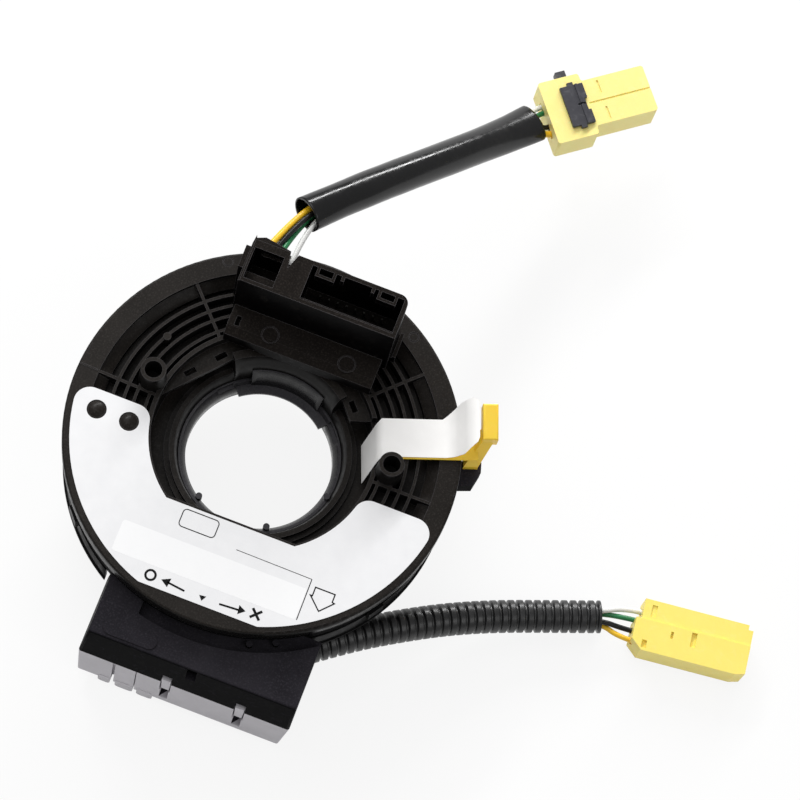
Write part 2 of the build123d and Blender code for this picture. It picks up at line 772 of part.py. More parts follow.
# ---------------------------------------------------------------- back cover
lip_width, lip_height = skirt_lip
cover_section = (
    (sleeve_outer + running_gap, cover_z),
    (cover_radius - skirt_wall, cover_z),
    (cover_radius - skirt_wall, skirt_bottom),
    (cover_radius + lip_width, skirt_bottom),
    (cover_radius + lip_width, skirt_bottom + lip_height),
    (cover_radius, skirt_bottom + lip_height),
    (cover_radius, cover_top),
    (sleeve_outer + running_gap, cover_top),
)
with BuildPart() as back_cover:
    # Plate with a skirt round it, both cut away behind the connector block.
    with BuildSketch(Plane.XZ):
        with BuildLine():
            Polyline(*cover_section, close=True)
        make_face()
    revolve(axis=Axis.Z)
    with BuildSketch(Plane.XY.offset(skirt_bottom)):
        with Locations(((block_left_foot + block_right) / 2, block_back + running_gap)):
            Rectangle(block_right - block_left_foot + 2 * running_gap, rim_radius,
                      align=(Align.CENTER, Align.MAX))
    extrude(amount=cover_top - skirt_bottom, mode=Mode.SUBTRACT)
    # Hooks that snap up round the case's wall.
    for angle in cover_hook_angles:
        hook_thickness, hook_width, hook_height = cover_hook
        hook_place = heading_point(case_radius + running_gap / 5, angle)
        hook_plane = Plane(origin=(*hook_place, cover_z), x_dir=(*heading_point(1, angle), 0),
                           z_dir=(0, 0, 1))
        with BuildSketch(hook_plane):
            Rectangle(hook_thickness, hook_width, align=(Align.MIN, Align.CENTER))
        extrude(amount=hook_height)
save(back_cover.part, "back_cover")

# ---------------------------------------------------------------- grey connector housing
with BuildPart() as connector_housing:
    # Its front stays flush with the block's and its ends draw in downwards.
    with BuildSketch(Plane.YZ):
        with BuildLine():
            Polyline((housing_back, housing_bottom), (housing_front_foot, housing_bottom),
                     (block_front_foot, block_bottom), (housing_back, block_bottom), close=True)
        make_face()
    extrude(amount=rim_radius, both=True)
    with BuildSketch(Plane.XZ):
        with BuildLine():
            Polyline((housing_left_foot, housing_bottom), (housing_right_foot, housing_bottom),
                     (block_right, block_bottom), (block_left_foot, block_bottom), close=True)
        make_face()
    extrude(amount=2 * rim_radius, mode=Mode.INTERSECT)
    fillet(connector_housing.edges().filter_by(
        lambda edge: abs(edge.center().Z - (housing_bottom + block_bottom) / 2) < 0.1), housing_round)
    for left, right in (socket_a, socket_b):
        with BuildSketch(Plane.XY.offset(housing_bottom)):
            with Locations(((left + right) / 2, housing_back - housing_wall)):
                RectangleRounded(right - left, socket_width, housing_round, align=(Align.CENTER, Align.MAX))
        extrude(amount=socket_floor_z - housing_bottom, mode=Mode.SUBTRACT)
    # Grooves down the front and prongs along the lower edge.
    for x, width in housing_grooves:
        with Locations((x, block_front_foot + housing_groove_depth, housing_bottom)):
            Box(width, rim_radius, block_bottom - housing_bottom,
                align=(Align.CENTER, Align.MAX, Align.MIN), mode=Mode.SUBTRACT)
    for x, width in prong_places:
        with BuildSketch(Plane.XZ.offset(-housing_front_foot - prong_depth)) as prong_outline:
            with Locations((x, prong_bottom)):
                Rectangle(width, housing_bottom - prong_bottom + housing_wall,
                          align=(Align.CENTER, Align.MIN))
            fillet(prong_outline.vertices().group_by(Axis.Z)[0], prong_round)
        extrude(amount=prong_depth)
    # Latch channels, each with a tapering tongue that reaches up into the block's window.
    tongue_low, tongue_high = latch_tongue_z
    pad_width, pad_bottom = latch_pad
    for x in latch_places:
        for width, low, high in ((latch_width, tongue_low, block_bottom),
                                 (pad_width, pad_bottom, tongue_low)):
            with Locations((x, block_front_foot + latch_depth, low)):
                Box(width, rim_radius, high - low, align=(Align.CENTER, Align.MAX, Align.MIN),
                    mode=Mode.SUBTRACT)
        top_width, bottom_width = latch_tongue
        with BuildSketch(Plane.XZ.offset(-block_front_foot - latch_depth)):
            with BuildLine():
                Polyline((x - bottom_width / 2, tongue_low), (x + bottom_width / 2, tongue_low),
                         (x + top_width / 2, tongue_high), (x - top_width / 2, tongue_high), close=True)
            make_face()
        extrude(amount=latch_depth)
    # Room for the lead's outlet.
    with BuildSketch(outlet_plane.offset(outlet_reach)):
        Circle(outlet_radius + running_gap)
    extrude(amount=-outlet_length - 2 * running_gap, mode=Mode.SUBTRACT)
save(connector_housing.part, "connector_housing")

# ---------------------------------------------------------------- flat cable
# One long ribbon wound in half turns whose centres alternate, so the turns join smoothly.
with BuildPart() as flat_cable:
    with BuildSketch(Plane.XY.offset(cover_top + cable_lift)):
        for turn in reversed(range(cable_turns)):
            Circle(cable_inner_radius + turn * cable_pitch + cable_thickness / 2)
            Circle(cable_inner_radius + turn * cable_pitch - cable_thickness / 2, mode=Mode.SUBTRACT)
        Rectangle(rim_radius, 2 * rim_radius, align=(Align.MIN, Align.CENTER), mode=Mode.INTERSECT)
    extrude(amount=cable_width)
    with BuildSketch(Plane.XY.offset(cover_top + cable_lift)):
        with Locations((0, -cable_pitch / 2)):
            for turn in reversed(range(cable_turns - 1)):
                Circle(cable_inner_radius + (turn + 0.5) * cable_pitch + cable_thickness / 2)
                Circle(cable_inner_radius + (turn + 0.5) * cable_pitch - cable_thickness / 2,
                       mode=Mode.SUBTRACT)
        Rectangle(rim_radius, 2 * rim_radius, align=(Align.MAX, Align.CENTER), mode=Mode.INTERSECT)
    extrude(amount=cable_width)
save(flat_cable.part, "flat_cable")

# ---------------------------------------------------------------- moving connector block
seat_z = rim_top + seat_gap
with BuildPart() as upper_block:
    # Base slab: foot plate in front, the box's floor behind.
    with BuildSketch(Plane.XY.offset(seat_z)):
        with Locations((upper_left, wall_front)):
            Rectangle(upper_right - upper_left, upper_back - wall_front, align=(Align.MIN, Align.MIN))
        with Locations((upper_left, upper_front)):
            Rectangle(flange_right - upper_left, wall_front - upper_front, align=(Align.MIN, Align.MIN))
    extrude(amount=flange_top - seat_z)
    with BuildSketch(Plane.XY.offset(flange_top)):
        with Locations((upper_left, wall_front)):
            Rectangle(upper_right - upper_left, upper_back - wall_front, align=(Align.MIN, Align.MIN))
    extrude(amount=upper_top - flange_top)
    back_right = upper_block.edges().filter_by(Axis.Z).group_by(Axis.Y)[-1].sort_by(Axis.X)[-1]
    fillet(back_right, upper_corner)
    # Tower for the upper lead at the left, with a flange down its outer side.
    with BuildSketch(Plane.XY.offset(seat_z)):
        with BuildLine():
            Polyline((tower_left, wall_front), (tower_right, wall_front),
                     (tower_right, tower_back_corners[0]), *tower_back_edge,
                     (tower_left, tower_back_corners[1]), close=True)
        make_face()
    extrude(amount=tower_top - seat_z)
    flange_wide, flange_long = tower_flange
    with BuildSketch(Plane.XY.offset(seat_z)):
        with Locations((tower_left, tower_flange_back)):
            Rectangle(flange_wide, flange_long, align=(Align.MAX, Align.MAX))
    extrude(amount=tower_flange_top - seat_z)
    # Chamfered front edge of the foot plate.
    foot_edge = upper_block.edges().filter_by(Axis.X).group_by(Axis.Y)[0].sort_by(Axis.Z)[-1]
    chamfer(foot_edge, flange_chamfer / 2, flange_chamfer)
    # Bay for the steering wheel's plug.
    step_width, step_depth = bay_step
    for front, floor in ((wall_front + bay_wall + step_width, bay_floor),
                         (wall_front + bay_wall, upper_top - step_depth)):
        with BuildSketch(Plane.XY.offset(upper_top)):
            with Locations((bay_left, front)):
                Rectangle(bay_right - bay_left, upper_back - bay_wall - front, align=(Align.MIN, Align.MIN))
        extrude(amount=floor - upper_top, mode=Mode.SUBTRACT)
    # Latch brackets on the bay's back wall.
    latch_wide, latch_thick, latch_tall = bay_latch
    for x in bay_latch_places:
        with Locations((x, upper_back - bay_wall, upper_top)):
            Box(latch_wide, latch_thick, latch_tall, align=(Align.CENTER, Align.MAX, Align.MAX))
        with Locations((x, upper_back - bay_wall, upper_top)):
            Box(latch_wide - 2 * bay_latch_wall, latch_thick - bay_latch_wall, latch_tall,
                align=(Align.CENTER, Align.MAX, Align.MAX), mode=Mode.SUBTRACT)
    with Locations(*[(x, upper_back - bay_wall, upper_top) for x in bay_clip_places]):
        Box(*bay_clip, align=(Align.CENTER, Align.MAX, Align.MAX))
    # Ledge and well in the tower, and the gap between tower and bay.
    tower_inner = tower_right - tower_left - 2 * tower_wall
    for near, far, floor in ((wall_front + tower_wall, tower_ledge_y, tower_ledge_z),
                             (tower_ledge_y, tower_well_y, tower_well_z)):
        with BuildSketch(Plane.XY.offset(floor)):
            with Locations((tower_left + tower_wall, near)):
                Rectangle(tower_inner, far - near, align=(Align.MIN, Align.MIN))
        extrude(amount=upper_top - floor + 1, mode=Mode.SUBTRACT)
    with BuildSketch(Plane.XY.offset(flange_top)):
        with BuildLine():
            Polyline(*tower_gap, close=True)
        make_face()
    extrude(amount=upper_top - flange_top, mode=Mode.SUBTRACT)
    # Heat stakes and slot on the foot plate, and the guide rail beside the box.
    with BuildSketch(Plane.XY.offset(flange_top)):
        with Locations(*stake_places):
            Circle(stake_radius)
            Circle(stake_radius - stake_ring, mode=Mode.SUBTRACT)
    extrude(amount=stake_height)
    with Locations((*flange_slot_place, flange_top)):
        Box(*flange_slot, 2 * flange_chamfer, mode=Mode.SUBTRACT)
    with BuildSketch(Plane.XY.offset(seat_z)):
        with Locations((upper_right, wall_front + upper_corner)):
            Rectangle(rail_gap + rail_wall, upper_back - wall_front - 2 * upper_corner,
                      align=(Align.MIN, Align.MIN))
    extrude(amount=rail_top - seat_z)
    with BuildSketch(Plane.XY.offset(rail_top)):
        with Locations((upper_right, wall_front + upper_corner)):
            Rectangle(rail_gap, upper_back - wall_front - 2 * upper_corner, align=(Align.MIN, Align.MIN))
    extrude(amount=-rail_wall, mode=Mode.SUBTRACT)
    # Holes for the lead's wires in the tower's back.
    for name, (across, angle, squeeze, spread) in upper_wires.items():
        size = heavy_wire_radius if name == "yellow" else wire_radius
        with BuildSketch(Plane.XZ.offset(-tower_back)):
            with Locations((upper_route[0][0] + across, upper_route[0][2])):
                Circle(size + wire_exit_fit)
        extrude(amount=tower_back - tower_well_y, mode=Mode.SUBTRACT)
save(upper_block.part, "upper_block")

# ---------------------------------------------------------------- contacts
with BuildPart() as bay_contacts:
    bay_middle = ((bay_left + bay_right) / 2, (wall_front + upper_back) / 2, bay_floor)
    with Locations(bay_middle):
        with GridLocations(pin_pitch, 2 * pin_pitch, bay_pin_columns, bay_pin_rows):
            Box(pin_size, pin_size, bay_pin_top - bay_floor, align=(Align.CENTER, Align.CENTER, Align.MIN))
    chamfer(bay_contacts.edges().group_by(Axis.Z)[-1], pin_chamfer)
save(bay_contacts.part, "bay_contacts")

with BuildPart() as housing_contacts:
    for left, right in (socket_a, socket_b):
        columns = int((right - left - 2 * housing_wall) / pin_pitch)
        with Locations(((left + right) / 2, housing_back - housing_wall - socket_width / 2, socket_floor_z)):
            with GridLocations(pin_pitch, 1.6 * pin_pitch, columns, 2):
                Box(pin_size, pin_size, housing_pin_length, align=(Align.CENTER, Align.CENTER, Align.MAX))
    chamfer(housing_contacts.edges().group_by(Axis.Z)[0], pin_chamfer)
save(housing_contacts.part, "housing_contacts")

# ---------------------------------------------------------------- shipping strip and lock tab
# The strip's side view: down the wall of the well, across the deck and up to the tab's handle.
tongue_z = rim_top + strip_lift
strip_z = tongue_z + tab_tongue_thickness + strip_lift
strip_plane = Plane(origin=(0, 0, 0), x_dir=strip_frame.x_dir, z_dir=-strip_frame.y_dir)
with BuildPart() as lock_strip:
    with BuildSketch(strip_plane):
        with BuildLine():
            fold_down = (cos(radians(strip_lean)), sin(radians(strip_lean)))
            fold_top = (strip_inner, strip_z - strip_fold_radius * (1 - fold_down[0]))
            fold_end = (fold_top[0] - strip_fold_length * fold_down[0],
                        fold_top[1] - strip_fold_length * fold_down[1])
            fold = Line(fold_end, fold_top)
            bend = JernArc(fold @ 1, fold_down, strip_fold_radius, -strip_lean)
            flat = Line(bend @ 1, (strip_end - strip_rise_length, strip_z))
            rise = JernArc(flat @ 1, (1, 0), strip_curl_radius, strip_curl_up)
            climb = Line(rise @ 1, rise @ 1 + (rise % 1) * strip_climb)
            JernArc(climb @ 1, climb % 1, strip_curl_radius, -strip_curl_back)
            offset(amount=strip_thickness, side=Side.LEFT)
        make_face()
    extrude(amount=rim_radius, both=True)
    # Its plan: the fold drifts to one side and the outer end widens to the other.
    strip_low, strip_high = strip_sides
    flare = [(strip_end - back, strip_high + extra) for back, extra in reversed(strip_flare)]
    cut = [(strip_end - back, strip_low + missing) for back, missing in strip_cut]
    drift_end = strip_drift_start - strip_drift - strip_fold_radius
    drift = strip_drift_start - drift_end
    with BuildSketch(strip_frame):
        with BuildLine():
            Polyline((drift_end, strip_low - drift), (strip_drift_start, strip_low), *cut, *flare,
                     (strip_drift_start, strip_high), (drift_end, strip_high - drift), close=True)
        make_face()
    extrude(amount=2 * rim_top, mode=Mode.INTERSECT)
save(lock_strip.part, "lock_strip")

foot_z = lug_top + tab_clearance
with BuildPart() as lock_tab:
    with BuildSketch(strip_frame.offset(foot_z)):
        with Locations(tab_foot_place):
            Rectangle(*tab_foot_size)
    extrude(amount=tab_foot_height)
    with BuildSketch(strip_frame.offset(foot_z + tab_foot_height)):
        with Locations(tab_foot_place):
            Rectangle(*tab_foot_size)
    with BuildSketch(strip_frame.offset(tab_neck_z)):
        with Locations(tab_neck_place):
            Rectangle(*tab_neck_size)
    loft()
    with BuildSketch(Plane(origin=strip_frame.from_local_coords((tab_handle_near, 0, 0)),
                           x_dir=strip_frame.y_dir, z_dir=strip_frame.x_dir)):
        with BuildLine():
            near, far = tab_handle_across
            top = tab_handle_z + tab_handle_height
            Polyline((near, tab_handle_z), (far, tab_handle_z + tab_handle_rise),
                     (far, top + tab_handle_rise), (near, top), close=True)
        make_face()
    extrude(amount=tab_handle_depth)
    fillet(lock_tab.faces().sort_by(Axis.Z)[-1].edges(), tab_round)
    # Flat tongue that lies on the deck under the strip.
    with BuildSketch(strip_frame.offset(tongue_z)):
        tongue_left, tongue_right = tab_tongue_sides
        with Locations((tab_foot_place[0] + tab_tongue_lap, tongue_left)):
            Rectangle(tab_tongue_length, tongue_right - tongue_left, align=(Align.MAX, Align.MIN))
    extrude(amount=tab_tongue_thickness)
save(lock_tab.part, "lock_tab")

# ---------------------------------------------------------------- lower lead
make_lead("cable_conduit", conduit_route, conduit_radius, conduit_bore)
plug_place = Vector(*conduit_route[-1]) + Vector(*heading_point(plug_gap, plug_heading), 0)
lower_plug_plane = Plane(origin=plug_place, x_dir=(*heading_point(1, plug_heading), 0), z_dir=(0, 0, 1))
for name, (across, lift, spread) in lower_wires.items():
    aside = Vector(*heading_point(across, conduit_heading + 90), lift)
    places = [Vector(*point) + aside for point in conduit_route]
    for along in (-plug_tail - plug_lead_in, plug_seat):
        places.append(lower_plug_plane.from_local_coords(Vector(along, spread, 0)))
    make_lead(f"lower_wire_{name}", [tuple(place) for place in places], wire_radius)

with BuildPart() as lower_connector:
    # Stepped plan: one side of the tail reaches further back.
    with BuildSketch(lower_plug_plane.offset(-plug_height / 2)):
        with BuildLine():
            Polyline((0, plug_width / 2), (plug_length - plug_lip, plug_width / 2),
                     (plug_length - plug_lip, plug_width / 2 - plug_lip),
                     (plug_length, plug_width / 2 - plug_lip),
                     (plug_length, -plug_width / 2 + plug_corner),
                     (plug_length - 2 * plug_lip, -plug_width / 2),
                     (plug_tail_edge, -plug_width / 2), (-plug_tail, -plug_width / 2 + 2 * plug_lip),
                     (-plug_tail, plug_tail_edge), (0, plug_tail_edge), close=True)
        make_face()
    extrude(amount=plug_height)
    # The top is a step lower along one side.
    with BuildSketch(lower_plug_plane.offset(plug_height / 2)):
        with Locations((0, plug_tail_edge)):
            Rectangle(plug_length, plug_width, align=(Align.MIN, Align.MIN))
    extrude(amount=-plug_step, mode=Mode.SUBTRACT)
    with BuildSketch(lower_plug_plane.offset(plug_height / 2)):
        for along, across, size_along, size_across in plug_slots:
            with Locations((along, across)):
                Rectangle(size_along, size_across)
    extrude(amount=-plug_slot_depth, mode=Mode.SUBTRACT)
    # Two cavities open at the front, with a partition between them.
    cavity_width = (plug_width - 2 * plug_wall - plug_partition) / 2
    front_plane = Plane(origin=lower_plug_plane.from_local_coords(Vector(plug_length, 0, 0)),
                        x_dir=lower_plug_plane.y_dir, z_dir=lower_plug_plane.x_dir)
    with BuildSketch(front_plane):
        with GridLocations(cavity_width + plug_partition, 1, 2, 1):
            Rectangle(cavity_width, plug_height - 2 * plug_wall - plug_step)
    extrude(amount=-plug_cavity_depth, mode=Mode.SUBTRACT)
    # Holes for the wires in the tail.
    tail_plane = Plane(origin=lower_plug_plane.from_local_coords(Vector(-plug_tail, 0, 0)),
                       x_dir=lower_plug_plane.y_dir, z_dir=lower_plug_plane.x_dir)
    with BuildSketch(tail_plane):
        with Locations(*[(spread, 0) for across, lift, spread in lower_wires.values()]):
            Circle(wire_radius + plug_hole_fit)
    extrude(amount=plug_tail + plug_seat + plug_hole_fit, mode=Mode.SUBTRACT)
save(lower_connector.part, "lower_connector")

with BuildPart() as lower_connector_contacts:
    with BuildSketch(front_plane.offset(-plug_cavity_depth)):
        with Locations(*[(spread, 0) for across, lift, spread in lower_wires.values()]):
            Rectangle(pin_size, pin_size)
    extrude(amount=plug_pin_length)
save(lower_connector_contacts.part, "lower_connector_contacts")

# ---------------------------------------------------------------- upper lead
upper_plug_plane = Plane(origin=upper_plug_place, x_dir=(*heading_point(1, upper_plug_heading), 0),
                         z_dir=(0, 0, 1))
make_lead("wire_sleeve", upper_route[1:], tube_radius, tube_bore)
left_side = Vector(*heading_point(1, bundle_heading + 90), 0)
for name, (across, angle, squeeze, spread) in upper_wires.items():
    exit_x, exit_y, exit_z = upper_route[0]
    places = [(exit_x + across, exit_y, exit_z)]
    last = len(upper_route) - 2
    for step, point in enumerate(upper_route[1:]):
        turned = radians(angle + bundle_twist * min(step, last - 1) / last)
        aside = left_side * (bundle_radius * cos(turned)) + Vector(0, 0, bundle_radius * sin(turned))
        places.append(tuple(Vector(*point) + aside))
    places[-1] = tuple(Vector(*upper_route[-1]) + left_side * squeeze)
    for along in (-upper_lead_in, upper_plug_seat):
        places.append(tuple(upper_plug_plane.from_local_coords(Vector(along, spread, 0))))
    size = heavy_wire_radius if name == "yellow" else wire_radius
    make_lead(f"upper_wire_{name}", places, size)

plug_top = upper_plug_height / 2
stem_from = lock_start + lock_stem_start
stem_room = lock_stem_length + lock_travel + 2 * lock_gap
arm_top = plug_top - lock_stem_depth + lock_arm_height
with BuildPart() as upper_connector:
    with BuildSketch(upper_plug_plane.offset(-plug_top)):
        Rectangle(upper_plug_shoulder, upper_plug_width, align=(Align.MIN, Align.CENTER))
        Rectangle(upper_plug_length, upper_plug_front_width, align=(Align.MIN, Align.CENTER))
    extrude(amount=upper_plug_height)
    fillet(upper_connector.edges().filter_by(Axis.Z), plug_corner)
    # Well for the lock's stem and the side window for its arm.
    with BuildSketch(upper_plug_plane.offset(plug_top)):
        with Locations((stem_from - lock_gap, 0)):
            Rectangle(stem_room, lock_stem_width + 2 * lock_gap, align=(Align.MIN, Align.CENTER))
    extrude(amount=-(lock_stem_depth + lock_gap), mode=Mode.SUBTRACT)
    with BuildSketch(upper_plug_plane.offset(arm_top + lock_gap)):
        with Locations((stem_from - lock_gap, 0)):
            Rectangle(stem_room, upper_plug_width, align=(Align.MIN, Align.MIN))
    extrude(amount=-(lock_arm_height + 2 * lock_gap), mode=Mode.SUBTRACT)
    # Seam down the front and two cross marks.
    with BuildSketch(upper_plug_plane.offset(plug_top)):
        seam_width, seam_depth = upper_plug_seam
        with Locations((upper_plug_shoulder + lock_gap, 0)):
            Rectangle(upper_plug_length, seam_width, align=(Align.MIN, Align.CENTER))
        for along, across, size_along, size_across in upper_plug_slots:
            with Locations((along, across)):
                Rectangle(size_along, size_across)
    extrude(amount=-seam_depth, mode=Mode.SUBTRACT)
    upper_front_plane = Plane(origin=upper_plug_plane.from_local_coords(Vector(upper_plug_length, 0, 0)),
                              x_dir=upper_plug_plane.y_dir, z_dir=upper_plug_plane.x_dir)
    upper_cavity = (upper_plug_front_width - 2 * plug_wall - plug_partition) / 2
    with BuildSketch(upper_front_plane):
        with GridLocations(upper_cavity + plug_partition, 1, 2, 1):
            Rectangle(upper_cavity, upper_plug_height - 2 * plug_wall)
    extrude(amount=-plug_cavity_depth, mode=Mode.SUBTRACT)
    upper_tail = Plane(origin=upper_plug_plane.origin, x_dir=upper_plug_plane.y_dir,
                       z_dir=upper_plug_plane.x_dir)
    for name, (across, angle, squeeze, spread) in upper_wires.items():
        size = heavy_wire_radius if name == "yellow" else wire_radius
        with BuildSketch(upper_tail):
            with Locations((spread, 0)):
                Circle(size + wire_exit_fit)
        extrude(amount=upper_plug_seat + plug_hole_fit, mode=Mode.SUBTRACT)
save(upper_connector.part, "upper_connector")

with BuildPart() as upper_connector_contacts:
    pin_offset = upper_cavity / 4
    with BuildSketch(upper_front_plane.offset(-plug_cavity_depth)):
        with GridLocations(upper_cavity + plug_partition, 1, 2, 1):
            with Locations((-pin_offset, 0), (pin_offset, 0)):
                Rectangle(pin_size, pin_size)
    extrude(amount=plug_pin_length)
save(upper_connector_contacts.part, "upper_connector_contacts")

with BuildPart() as connector_lock:
    # Cover plate with its ears and teeth.
    with BuildSketch(upper_plug_plane.offset(plug_top + lock_lift)):
        with Locations((lock_start, 0)):
            Rectangle(lock_length, lock_width, align=(Align.MIN, Align.CENTER))
        for start, size_along, across, size_across in lock_outline:
            with Locations((lock_start + start, across)):
                Rectangle(size_along, size_across, align=(Align.MIN, Align.CENTER))
    extrude(amount=lock_thickness)
    # Stem in the well, arm through the side window and the finger tab outside.
    with BuildSketch(upper_plug_plane.offset(plug_top + lock_lift)):
        with Locations((stem_from, 0)):
            Rectangle(lock_stem_length, lock_stem_width, align=(Align.MIN, Align.CENTER))
    extrude(amount=-(lock_lift + lock_stem_depth))
    with BuildSketch(upper_plug_plane.offset(arm_top)):
        with Locations((stem_from, 0)):
            Rectangle(lock_stem_length, upper_plug_width / 2 + lock_gap + lock_finger_reach,
                      align=(Align.MIN, Align.MIN))
    extrude(amount=-lock_arm_height)
    with BuildSketch(upper_plug_plane.offset(arm_top)):
        with Locations((stem_from, upper_plug_width / 2 + lock_gap)):
            Rectangle(lock_stem_length, lock_finger_reach, align=(Align.MIN, Align.MIN))
    extrude(amount=-lock_finger_height)
    # Ridge across the plate and a short slot.
    plate_top = upper_plug_plane.offset(plug_top + lock_lift + lock_thickness)
    with BuildSketch(plate_top):
        with Locations((lock_start + lock_ridge_start, 0)):
            Rectangle(2 * lock_ridge, lock_width, align=(Align.MIN, Align.CENTER))
    extrude(amount=lock_ridge)
    slot_length, slot_width, slot_depth = lock_slot
    with BuildSketch(plate_top.offset(lock_ridge)):
        with Locations((lock_start + lock_ridge_start + lock_ridge, 0)):
            Rectangle(slot_length, slot_width)
    extrude(amount=-(lock_ridge + slot_depth), mode=Mode.SUBTRACT)
save(connector_lock.part, "connector_lock")
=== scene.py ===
import math

import bmesh
import bpy
from mathutils import Matrix, Vector, noise


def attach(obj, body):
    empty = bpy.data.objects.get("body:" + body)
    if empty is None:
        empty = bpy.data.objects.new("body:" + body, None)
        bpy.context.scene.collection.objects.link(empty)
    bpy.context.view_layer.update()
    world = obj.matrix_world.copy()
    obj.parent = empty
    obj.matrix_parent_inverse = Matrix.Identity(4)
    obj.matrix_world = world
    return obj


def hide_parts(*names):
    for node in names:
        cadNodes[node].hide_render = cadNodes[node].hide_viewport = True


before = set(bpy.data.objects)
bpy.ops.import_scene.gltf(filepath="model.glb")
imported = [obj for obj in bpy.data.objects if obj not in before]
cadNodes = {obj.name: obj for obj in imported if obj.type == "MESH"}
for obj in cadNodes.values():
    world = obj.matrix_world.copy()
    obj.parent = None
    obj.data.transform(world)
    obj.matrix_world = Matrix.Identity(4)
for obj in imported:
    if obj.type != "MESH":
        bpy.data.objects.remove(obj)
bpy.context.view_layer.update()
scene = bpy.context.scene
mm = 0.001
print("frame loaded:", len(cadNodes), "nodes")


cameraView = {
    "place": (0.03962, -0.26696, 0.83930),
    "right": (0.93418, 0.33932, 0.11032),
    "up": (-0.35665, 0.87889, 0.31679),
    "lens": 144.0,
    "sensor": 36.0,
    "nearest": 0.01,
    "farthest": 20,
}


def makeCamera(view):
    data = bpy.data.cameras.new("studioCamera")
    data.lens = view["lens"]
    data.sensor_width = view["sensor"]
    data.clip_start = view["nearest"]
    data.clip_end = view["farthest"]
    camera = bpy.data.objects.new("studioCamera", data)
    scene.collection.objects.link(camera)
    right = Vector(view["right"]).normalized()
    up = Vector(view["up"])
    back = right.cross(up).normalized()
    up = back.cross(right)
    turn = Matrix((right, up, back)).transposed().to_4x4()
    camera.matrix_world = Matrix.Translation(view["place"]) @ turn
    scene.camera = camera


makeCamera(cameraView)
print("camera placed")


# Noises that the finishes share: scale, detail, distortion.
noises = {
    "flow": (55, 4, 0.6),
    "cloud": (55, 4, 1.0),
    "spark": (2600, 3, 0),
    "scuff": (420, 6, 1.2),
    "dust": (2200, 8, 0.4),
    "mottle": (240, 5, 0),
    "fibre": (3200, 2, 0),
    "streak": (380, 3, 0.8),
    "dull": (900, 5, 0),
}
noiseBand = (0.3, 0.7)  # most of a noise lies between these


def startFinish(name, spec):
    finish = bpy.data.materials.new(name)
    finish.use_nodes = True
    nodes = finish.node_tree.nodes
    shader = nodes["Principled BSDF"]
    shader.inputs["Base Color"].default_value = (*spec["colour"], 1)
    shader.inputs["Roughness"].default_value = spec["roughness"]
    shader.inputs["Specular IOR Level"].default_value = spec.get("specular", 0.5)
    shader.inputs["Metallic"].default_value = spec.get("metallic", 0)
    if "subsurface" in spec:
        shader.inputs["Subsurface Weight"].default_value = spec["subsurface"]
        shader.inputs["Subsurface Scale"].default_value = spec["subsurfaceDepth"]
    place = nodes.new("ShaderNodeTexCoord")
    return finish, nodes, finish.node_tree.links, shader, place


def noiseOf(nodes, links, place, kind):
    cloud = nodes.new("ShaderNodeTexNoise")
    for socket, value in zip(("Scale", "Detail", "Distortion"), noises[kind]):
        cloud.inputs[socket].default_value = value
    links.new(place.outputs["Object"], cloud.inputs["Vector"])
    return cloud.outputs["Fac"]


def mixColours(nodes, links, factor, first, second):
    blend = nodes.new("ShaderNodeMix")
    blend.data_type = "RGBA"
    links.new(factor, blend.inputs["Factor"])
    for socket, colour in (("A", first), ("B", second)):
        slots = [s for s in blend.inputs if s.name == socket and s.type == "RGBA"]
        if isinstance(colour, tuple):
            slots[0].default_value = (*colour, 1)
        else:
            links.new(colour, slots[0])
    return [s for s in blend.outputs if s.type == "RGBA"][0]


def spread(nodes, links, value, low, high, band=noiseBand):
    # low to high as the value goes through the band.
    ranged = nodes.new("ShaderNodeMapRange")
    ranged.inputs["From Min"].default_value = band[0]
    ranged.inputs["From Max"].default_value = band[1]
    ranged.inputs["To Min"].default_value = low
    ranged.inputs["To Max"].default_value = high
    links.new(value, ranged.inputs["Value"])
    return ranged.outputs["Result"]


def bumpFrom(nodes, links, shader, height, strength, depth):
    bump = nodes.new("ShaderNodeBump")
    bump.inputs["Strength"].default_value = strength
    bump.inputs["Distance"].default_value = depth * mm
    links.new(height, bump.inputs["Height"])
    links.new(bump.outputs["Normal"], shader.inputs["Normal"])


# Wear of the moulded parts, and the bands and samples for the painted sheen on upper faces and the
# painted edge highlights; a finish can have its own scuffs and grain.
wearAndPaintedLight = {
    "scuffs": 0.35,
    "scuffBand": (0.56, 0.76),
    "dust": 0.8,
    "dustBand": (0.5, 0.72),
    "upBand": (0.45, 0.9),
    "edgeBand": (0.82, 0.98),
    "edgeSamples": 4,
    "smoother": 0.06,
    "rougher": 0.1,
    "grain": 0.25,
    "grainDepth": 0.04,
}


def facingUp(nodes, links, place):
    # 1 on faces that look up, 0 on walls; this places the painted sheen.
    parts = nodes.new("ShaderNodeSeparateXYZ")
    links.new(place.outputs["Normal"], parts.inputs["Vector"])
    return spread(nodes, links, parts.outputs["Z"], 0, 1, wearAndPaintedLight["upBand"])


def paintedTopSheen(nodes, links, place, spec):
    # Painted sheen: a lighter tone on the upper faces, where the light falls, in clouds, with fine
    # dust.
    dust = noiseOf(nodes, links, place, "dust")
    cloud = noiseOf(nodes, links, place, "cloud")
    cloudShare = spread(nodes, links, cloud, 0, 1)
    tone = mixColours(nodes, links, cloudShare, spec["top"], spec["topShade"])
    dustShare = spread(nodes, links, dust, 0, wearAndPaintedLight["dust"], wearAndPaintedLight["dustBand"])
    return mixColours(nodes, links, dustShare, tone, spec["worn"])


